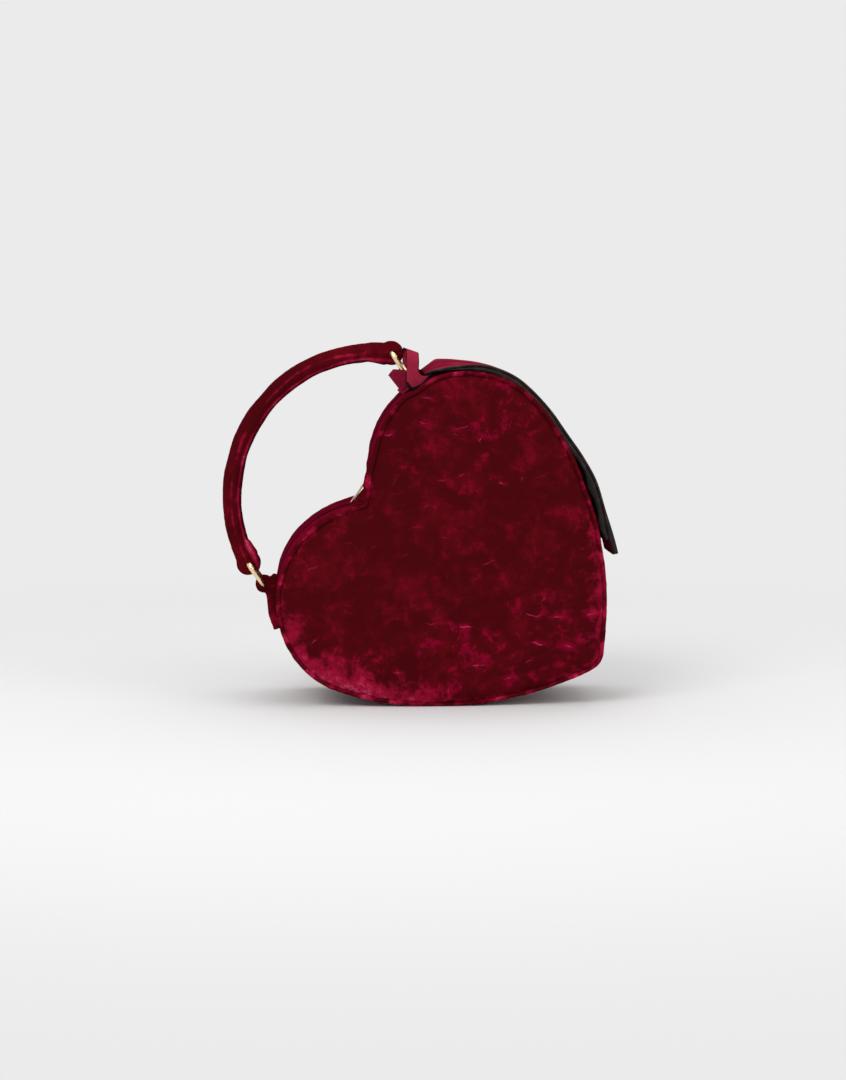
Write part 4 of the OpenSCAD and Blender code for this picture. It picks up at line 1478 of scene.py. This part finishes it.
@dataclass
class LeatherTag:
    """Leather tag that hangs from its fold: a face and a shorter backing, with painted edges."""

    finishes: Finishes
    path: TagPath = TagPath()
    half_width: float = 20.0
    leather: float = 1.7
    gap: float = 0.0
    short: float = 9.5
    rest_gap: float = 0.12
    begin: float = 12.0
    drifts: tuple[tuple[float, float], ...] = (
        (0.0, 1.7), (4.0, 1.9), (9.0, 1.2), (21.0, 0.6), (34.0, 0.6), (51.0, -0.8), (70.0, -1.6), (88.0, -1.6),
        (102.0, -1.1), (119.0, 0.8), (135.0, 2.0), (155.0, 1.0), (180.0, 1.7),
    )
    crowns: tuple[tuple[float, float], ...] = (
        (0.0, 2.25), (2.0, 2.5), (4.0, 3.1), (6.0, 4.0), (9.0, 5.4), (12.5, 4.9), (23.0, 2.6), (34.0, 0.7),
        (45.0, 0.0),
    )
    depths: tuple[tuple[float, float], ...] = (
        (0.0, 2.7), (20.0, 3.6), (60.0, 4.2), (105.0, 4.6), (119.0, 3.6), (128.0, 3.7), (136.0, 6.0), (144.0, 4.6),
        (154.0, 4.6), (159.0, 6.2), (171.0, 5.0),
    )

    def build(self) -> list[bpy.types.Object]:
        """Builds the tag's two layers, its neck and the strap's free end."""
        return [
            self.face(),
            self.backing(),
            self.carried("tag_neck", "tag_neck_leather", dark_edges=False),
            self.carried("tag_strap_end", "strap_end_leather", dark_edges=True),
        ]

    def drift(self, run: float) -> float:
        """How far the worn tag stands off its plain path."""
        return spline(self.drifts, run)

    def crown(self, run: float, depth: float) -> float:
        """Lift of the tag's root over the upper tab's loop."""
        return spline(self.crowns, run) * bump(depth, 0.0, 10.5)

    def shift(
        self, point: Vector, under: Callable[[float, float], tuple[float, float]], low: float, high: float
    ) -> Vector:
        """Moves a point of a plain layer to its place in the worn tag.

        Args:
            point: The point.
            under: Gives the layer's worn heights from its length along the path and the room below the path.
            low: Height of the plain layer's underside.
            high: Height of its top.

        Returns:
            The moved point.
        """
        run, out = self.path.locate(point)
        place = self.path.point_at(run)
        height = (point - Vector((place[0], point.y, place[1]))).dot(out)
        drift = self.drift(run)
        room = RIM.find(*place)[0] + drift - self.rest_gap
        worn_low, worn_high = under(run, room)
        share = (height - low) / (high - low)
        faint = 0.25 * wave(Vector((run, point.y, 0.0)), 26.0, 4.0) * smooth_step(run, 30.0, 50.0)
        target = worn_low + share * (worn_high - worn_low) + drift + self.crown(run, point.y) + faint
        return point + out * (target - height)

    def face_heights(self, run: float, room: float) -> tuple[float, float]:
        """Underside and top of the face over the path, skived thin at the fold so that it clears the neck."""
        half = 0.5 * self.leather
        skived = 0.4 + 0.6 * smooth_step(run, 0.5, 4.0)
        deep = 0.9 + 1.7 * smooth_step(run, 150.0, 168.0)
        return -max(half, min(deep, 0.6 * room)) * skived, half

    def backing_heights(self, run: float, room: float) -> tuple[float, float]:
        """Underside and top of the backing over the path, thinned where it starts."""
        top = self.face_heights(run, room)[0] - self.gap
        deepest = spline(self.depths, run)
        full = min(room, deepest)
        thin = 0.5 + (full + top - 0.5) * smooth_step(run, self.begin, self.begin + 14.0)
        return top - max(0.5, thin), top

    def finish(self, piece: bpy.types.Object, node: str, face: bpy.types.Material) -> None:
        """Gives a layer its materials and its painted edges, hangs it on the tag's body and hides its CAD node."""
        dress(piece, face, self.finishes.edge)
        for polygon in piece.data.polygons:
            if abs(polygon.normal.y) > 0.35 and abs(polygon.center.y) > (self.half_width - 1.2) * MM:
                polygon.material_index = 1
        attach(piece, "tag")
        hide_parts(node)

    def face(self) -> bpy.types.Object:
        """Builds the tag's outer layer."""
        half = 0.5 * self.leather
        made = Ribbon("tag_leather", self.path.arcs(), self.half_width, -half, half).pattern()
        made.move(lambda p: self.shift(p, self.face_heights, -half, half))
        piece = made.piece("tag_leather")
        self.finish(piece, "tag_face", self.finishes.leather)
        length = sum(arc.length for arc in self.path.arcs())
        return piece

    def backing(self) -> bpy.types.Object:
        """Builds the shorter under layer, thinned where it starts."""
        first, *others = self.path.arcs()
        start = first.start - math.degrees(self.begin / first.radius)
        tail = others[-1]
        cut = math.degrees(self.short / tail.radius)
        arcs = [
            Arc(first.centre, first.radius, start, first.end),
            *others[:-1],
            Arc(tail.centre, tail.radius, tail.start, tail.end + cut),
        ]
        top = -0.5 * self.leather - self.gap
        made = Ribbon("tag_lining_leather", arcs, self.half_width, top - self.leather, top).pattern()
        made.move(lambda p: self.shift(p, self.backing_heights, top - self.leather, top))
        piece = made.piece("tag_lining_leather")
        self.finish(piece, "tag_backing", self.finishes.suede)
        return piece

    def carried(self, node: str, name: str, dark_edges: bool) -> bpy.types.Object:
        """Makes one leather piece over its CAD solid.

        Args:
            node: The CAD node it stands for.
            name: Name of the piece.
            dark_edges: Whether its narrow edges are painted dark.

        Returns:
            The piece.
        """
        piece = copy_of(node, name)
        dress(piece, self.finishes.leather, self.finishes.edge)
        for polygon in piece.data.polygons:
            if dark_edges and abs(polygon.normal.y) < 0.7:
                polygon.material_index = 1
        round_edges(piece, 0.35, 3)
        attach(piece, "root")
        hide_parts(node)
        return piece


@dataclass
class StrapBridge:
    """Leather strap that arches over the ring, with a rounded foot turned along the neck on each side.

    Attributes:
        foot: Outline of a leg with its foot, across and up from the heart's middle as it stands.
    """

    finishes: Finishes
    left: float = -7.0
    width: float = 7.4
    half_span: float = 24.0
    top: float = 108.0
    corner: float = 7.0
    leather: float = 1.7
    cell: float = 0.36
    foot: tuple[tuple[float, float], ...] = (
        (-7.0, 101.5), (0.4, 101.5), (0.2, 96.6), (0.8, 93.9), (2.8, 93.1), (5.6, 93.4), (8.6, 95.2),
        (6.3, 91.2), (2.4, 87.0), (-2.4, 84.6), (-5.4, 85.0), (-7.3, 88.0),
    )
    turned: tuple[tuple[float, float], ...] = (
        (8.8, 95.2), (6.0, 90.8), (2.3, 87.1), (-2.4, 84.9), (-5.2, 85.3), (-7.2, 88.2),
    )

    def build(self) -> bpy.types.Object:
        """Builds the strap as one skin with softened edges."""
        made = Pattern()
        wide = (self.left, self.left + self.width)
        inner = self.half_span - self.leather
        for way in (-1.0, 1.0):
            near, far = sorted((way * inner, way * self.half_span))
            leg = made.line([(x, near, z) for x, z in self.outline()], closed=True)
            face = made.bm.faces.new([v for v in leg if isinstance(v, bmesh.types.BMVert)])
            grown = bmesh.ops.extrude_face_region(made.bm, geom=[face])
            moved = [v for v in grown["geom"] if isinstance(v, bmesh.types.BMVert)]
            bmesh.ops.translate(made.bm, vec=(0.0, far - near, 0.0), verts=moved)
        bend = self.top - self.corner
        flat = self.half_span - self.corner
        section = [(x, -y, bend) for x, y in (
            (wide[0], inner), (wide[1], inner), (wide[1], self.half_span), (wide[0], self.half_span)
        )]
        ring = made.line([(x, y, z - 2.0) for x, y, z in section], closed=True)
        made.bm.faces.new([v for v in ring if isinstance(v, bmesh.types.BMVert)])
        for kind, centre in (("rise", -flat), ("turn", -flat), ("span", flat), ("turn", flat), ("fall", flat)):
            if kind == "turn":
                spun = bmesh.ops.spin(
                    made.bm, geom=ring, cent=(0.0, centre, bend), axis=(1.0, 0.0, 0.0),
                    angle=math.radians(-90.0), steps=8, use_merge=False,
                )
                ring = spun["geom_last"]
                continue
            grown = bmesh.ops.extrude_edge_only(
                made.bm, edges=[e for e in ring if isinstance(e, bmesh.types.BMEdge)]
            )
            ring = [g for g in grown["geom"] if not isinstance(g, bmesh.types.BMFace)]
            step = {"rise": (0.0, 0.0, 2.0), "span": (0.0, 2.0 * flat, 0.0), "fall": (0.0, 0.0, -2.0)}[kind]
            moved = [v for v in ring if isinstance(v, bmesh.types.BMVert)]
            bmesh.ops.translate(made.bm, vec=step, verts=moved)
            ring = moved + [e for e in made.bm.edges if e.verts[0] in moved and e.verts[1] in moved]
        made.bm.faces.new([v for v in ring if isinstance(v, bmesh.types.BMVert)])
        piece = made.piece("strap_leather", HeartPlan(lean=0.0))
        remesh(piece, self.cell)
        relax(piece, 3)
        for vert in piece.data.vertices:
            high = smooth_step(vert.co.z / MM - PLAN.stand_z, self.top - 8.0, self.top - 3.0)
            vert.co.z -= 0.34 * high * (vert.co.x - (PLAN.shift_x + self.left + 0.5 * self.width) * MM)
        self.mark_edges(piece)
        dress(piece, self.finishes.strap_leather)
        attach(piece, "root")
        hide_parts("tag_strap")
        return piece

    def outline(self) -> list[tuple[float, float]]:
        """The leg's outline with its corners cut twice, so that it runs smoothly."""
        points = list(self.foot)
        for _ in range(2):
            cut = []
            for (x0, z0), (x1, z1) in zip(points, points[1:] + points[:1]):
                cut += [(0.8 * x0 + 0.2 * x1, 0.8 * z0 + 0.2 * z1), (0.2 * x0 + 0.8 * x1, 0.2 * z0 + 0.8 * z1)]
            points = cut
        return points

    def mark_edges(self, piece: bpy.types.Object) -> None:
        """Stores how much of each place is a cut edge of the leather."""
        bend = (PLAN.stand_z + self.top - self.corner) * MM
        values = []
        for vert in piece.data.vertices:
            normal = vert.normal
            across = vert.co.x / MM - PLAN.shift_x
            up = vert.co.z / MM - PLAN.stand_z
            near = min(
                edge_distance((across, up), first, second) for first, second in zip(self.turned, self.turned[1:])
            )
            low = 1.0 - smooth_step(near, 1.4, 1.9)
            right = smooth_step(across, self.left + self.width - 0.8, self.left + self.width - 0.4)
            side = right * smooth_step(up, 94.5, 96.0)
            cut = abs(normal.x) if vert.co.z > bend else 1.0 - abs(normal.y) ** 2
            values.append(max(cut, low, side))
        layer = piece.data.attributes.new("edge", "FLOAT", "POINT")
        layer.data.foreach_set("value", values)


# ---------------------------------------------------------------- metal


@dataclass
class Hardware:
    """Metal pieces and hidden boards that keep their CAD shapes."""

    finishes: Finishes

    def build(self) -> None:
        """Dresses the carried CAD nodes."""
        gold = ("lower_ring", "upper_ring", "zip_pull")
        # The zip's teeth, stops and slider get the dark red of painted shade and red reflection.
        dark = ("front_zip_teeth", "back_zip_teeth", "zip_stops", "zip_slider")
        boards = ("front_board", "back_board", "gusset_board")
        for names, material in ((gold, self.finishes.gold), (dark, self.finishes.zip_metal),
                                (boards, self.finishes.board)):
            for name in names:
                dress(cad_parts[name], material)

    def tapes(self) -> list[bpy.types.Object]:
        """Builds the two woven tapes over their CAD solids."""
        made = []
        for side in Side:
            node = f"{side.name.lower()}_zip_tape"
            piece = copy_of(node, f"{node}_weave")
            dress(piece, self.finishes.tape)
            round_edges(piece, 0.12, 2)
            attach(piece, "root")
            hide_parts(node)
            made.append(piece)
        return made


# ---------------------------------------------------------------- studio


@dataclass
class Studio:
    """Pale floor, soft lights and the camera of the photograph."""

    backdrop: Colour = (0.831, 0.831, 0.831)
    ambient: float = 0.62
    target: tuple[float, float, float] = (0.00308, 0.0, 0.09454)
    distance: float = 1.5
    lens: float = 82.9
    azimuth: float = 3.5
    elevation: float = 5.5

    def build(self) -> None:
        """Builds the camera, the lights, the world and the floor."""
        self.camera()
        self.lamp("key", (-0.75, -1.05, 1.25), 0.9, 11.0)
        self.lamp("fill", (1.1, -0.9, 0.8), 1.1, 5.0)
        self.lamp("top", (0.1, 0.25, 1.5), 1.0, 4.5)
        self.world()
        self.floor()

    def camera(self) -> None:
        """Places the camera where the photograph was taken from."""
        turn, drop = math.radians(self.azimuth), math.radians(self.elevation)
        forward = Vector((math.sin(turn) * math.cos(drop), math.cos(turn) * math.cos(drop), -math.sin(drop)))
        data = bpy.data.cameras.new("camera")
        data.lens = self.lens
        data.sensor_width = 36.0
        made = bpy.data.objects.new("camera", data)
        made.location = Vector(self.target) - forward * self.distance
        made.rotation_euler = forward.to_track_quat("-Z", "Y").to_euler()
        bpy.context.scene.collection.objects.link(made)
        bpy.context.scene.camera = made

    def lamp(self, name: str, place: tuple[float, float, float], size: float, watts: float) -> None:
        """Adds a soft square lamp aimed at the bag."""
        data = bpy.data.lights.new(name, "AREA")
        data.size = size
        data.energy = watts
        made = bpy.data.objects.new(name, data)
        made.location = place
        made.rotation_euler = (Vector(self.target) - Vector(place)).to_track_quat("-Z", "Y").to_euler()
        bpy.context.scene.collection.objects.link(made)

    def world(self) -> None:
        """Shows the backdrop's colour to the camera and to gloss, and gives a plain soft light."""
        world = bpy.data.worlds.new("studio")
        bpy.context.scene.world = world
        world.use_nodes = True
        tree = world.node_tree
        tree.nodes.clear()
        seen = tree.nodes.new("ShaderNodeLightPath")
        both = tree.nodes.new("ShaderNodeMath")
        both.operation = "MAXIMUM"
        tree.links.new(seen.outputs["Is Camera Ray"], both.inputs[0])
        gloss = tree.nodes.new("ShaderNodeMath")
        gloss.operation = "MAXIMUM"
        tree.links.new(seen.outputs["Is Glossy Ray"], gloss.inputs[0])
        tree.links.new(seen.outputs["Is Transmission Ray"], gloss.inputs[1])
        tree.links.new(gloss.outputs[0], both.inputs[1])
        plain = tree.nodes.new("ShaderNodeBackground")
        plain.inputs["Color"].default_value = (1.0, 1.0, 1.0, 1.0)
        plain.inputs["Strength"].default_value = self.ambient
        shown = tree.nodes.new("ShaderNodeBackground")
        shown.inputs["Color"].default_value = (*self.backdrop, 1.0)
        mix = tree.nodes.new("ShaderNodeMixShader")
        tree.links.new(both.outputs[0], mix.inputs[0])
        tree.links.new(plain.outputs[0], mix.inputs[1])
        tree.links.new(shown.outputs[0], mix.inputs[2])
        output = tree.nodes.new("ShaderNodeOutputWorld")
        tree.links.new(mix.outputs[0], output.inputs["Surface"])

    def floor(self) -> None:
        """Lays a round pale floor that fades into the backdrop."""
        bm = bmesh.new()
        bmesh.ops.create_circle(bm, cap_ends=True, segments=96, radius=1.6)
        mesh = bpy.data.meshes.new("floor")
        bm.to_mesh(mesh)
        bm.free()
        floor = bpy.data.objects.new("floor", mesh)
        floor.location = (0.0, 0.0, -0.0005)
        bpy.context.scene.collection.objects.link(floor)
        s = Shader("pale_floor")
        s.set(Base_Color=self.backdrop, Roughness=1.0, Specular_IOR_Level=0.0)
        length = s.tree.nodes.new("ShaderNodeVectorMath")
        length.operation = "LENGTH"
        s.put(length.inputs[0], s.place)
        fade = s.span(length.outputs["Value"], 0.25, 0.75)
        clear = s.tree.nodes.new("ShaderNodeBsdfTransparent")
        mix = s.tree.nodes.new("ShaderNodeMixShader")
        s.put(mix.inputs[0], fade)
        s.put(mix.inputs[1], s.surface.outputs["BSDF"])
        s.put(mix.inputs[2], clear.outputs[0])
        s.put(s.output.inputs["Surface"], mix.outputs[0])
        dress(floor, s.material)


def report(pieces: Sequence[bpy.types.Object]) -> None:
    """Writes each piece's name and size to the log."""
    for piece in pieces:
        LOG.info("built %s: %d faces", piece.name, len(piece.data.polygons))


def main() -> None:
    """Builds the bag piece by piece, and the studio round it."""
    logging.basicConfig(level=logging.INFO, format="%(name)s: %(message)s")
    bpy.context.scene.view_settings.view_transform = "Standard"
    finishes = Finishes()
    for side in Side:
        report([FacePanel(side, finishes).build(), SeamWelt(side, finishes).build(), ZipStrip(side, finishes).build()])
    report([Gusset(finishes).build()])
    lower_neck = polar_points((-PLAN.lobe_x, 0.0), (
        (55.7, 113.0), (59.4, 112.6), (60.8, 115.0), (61.4, 118.5), (63.0, 122.0), (61.9, 126.0), (61.8, 135.0),
        (61.6, 141.0), (60.2, 143.6), (57.8, 144.0), (55.7, 143.4), (55.7, 135.0), (55.7, 127.0), (55.7, 120.0),
    ))
    upper_neck = polar_points((PLAN.lobe_x, 0.0), ((57.0, 57.0), (58.2, 56.0), (66.0, 63.4), (59.5, 66.5)))
    tabs = (("lower_tab", lower_neck), ("upper_tab", upper_neck))
    report([VelvetTab(node, finishes, neck).build() for node, neck in tabs])
    report([Handle(finishes).build()])
    report(LeatherTag(finishes).build())
    report([StrapBridge(finishes).build()])
    hardware = Hardware(finishes)
    hardware.build()
    report(hardware.tapes())
    linings = (
        LooseLining("front_lining", (0.200, 0.190), 0.0262, finishes),
        LooseLining("back_lining", (0.200, 0.190), 0.0262, finishes),
        LooseLining("gusset_lining", (0.0724, 0.600), None, finishes),
    )
    report([lining.build() for lining in linings])
    Studio().build()


if __name__ == "__main__":
    main()
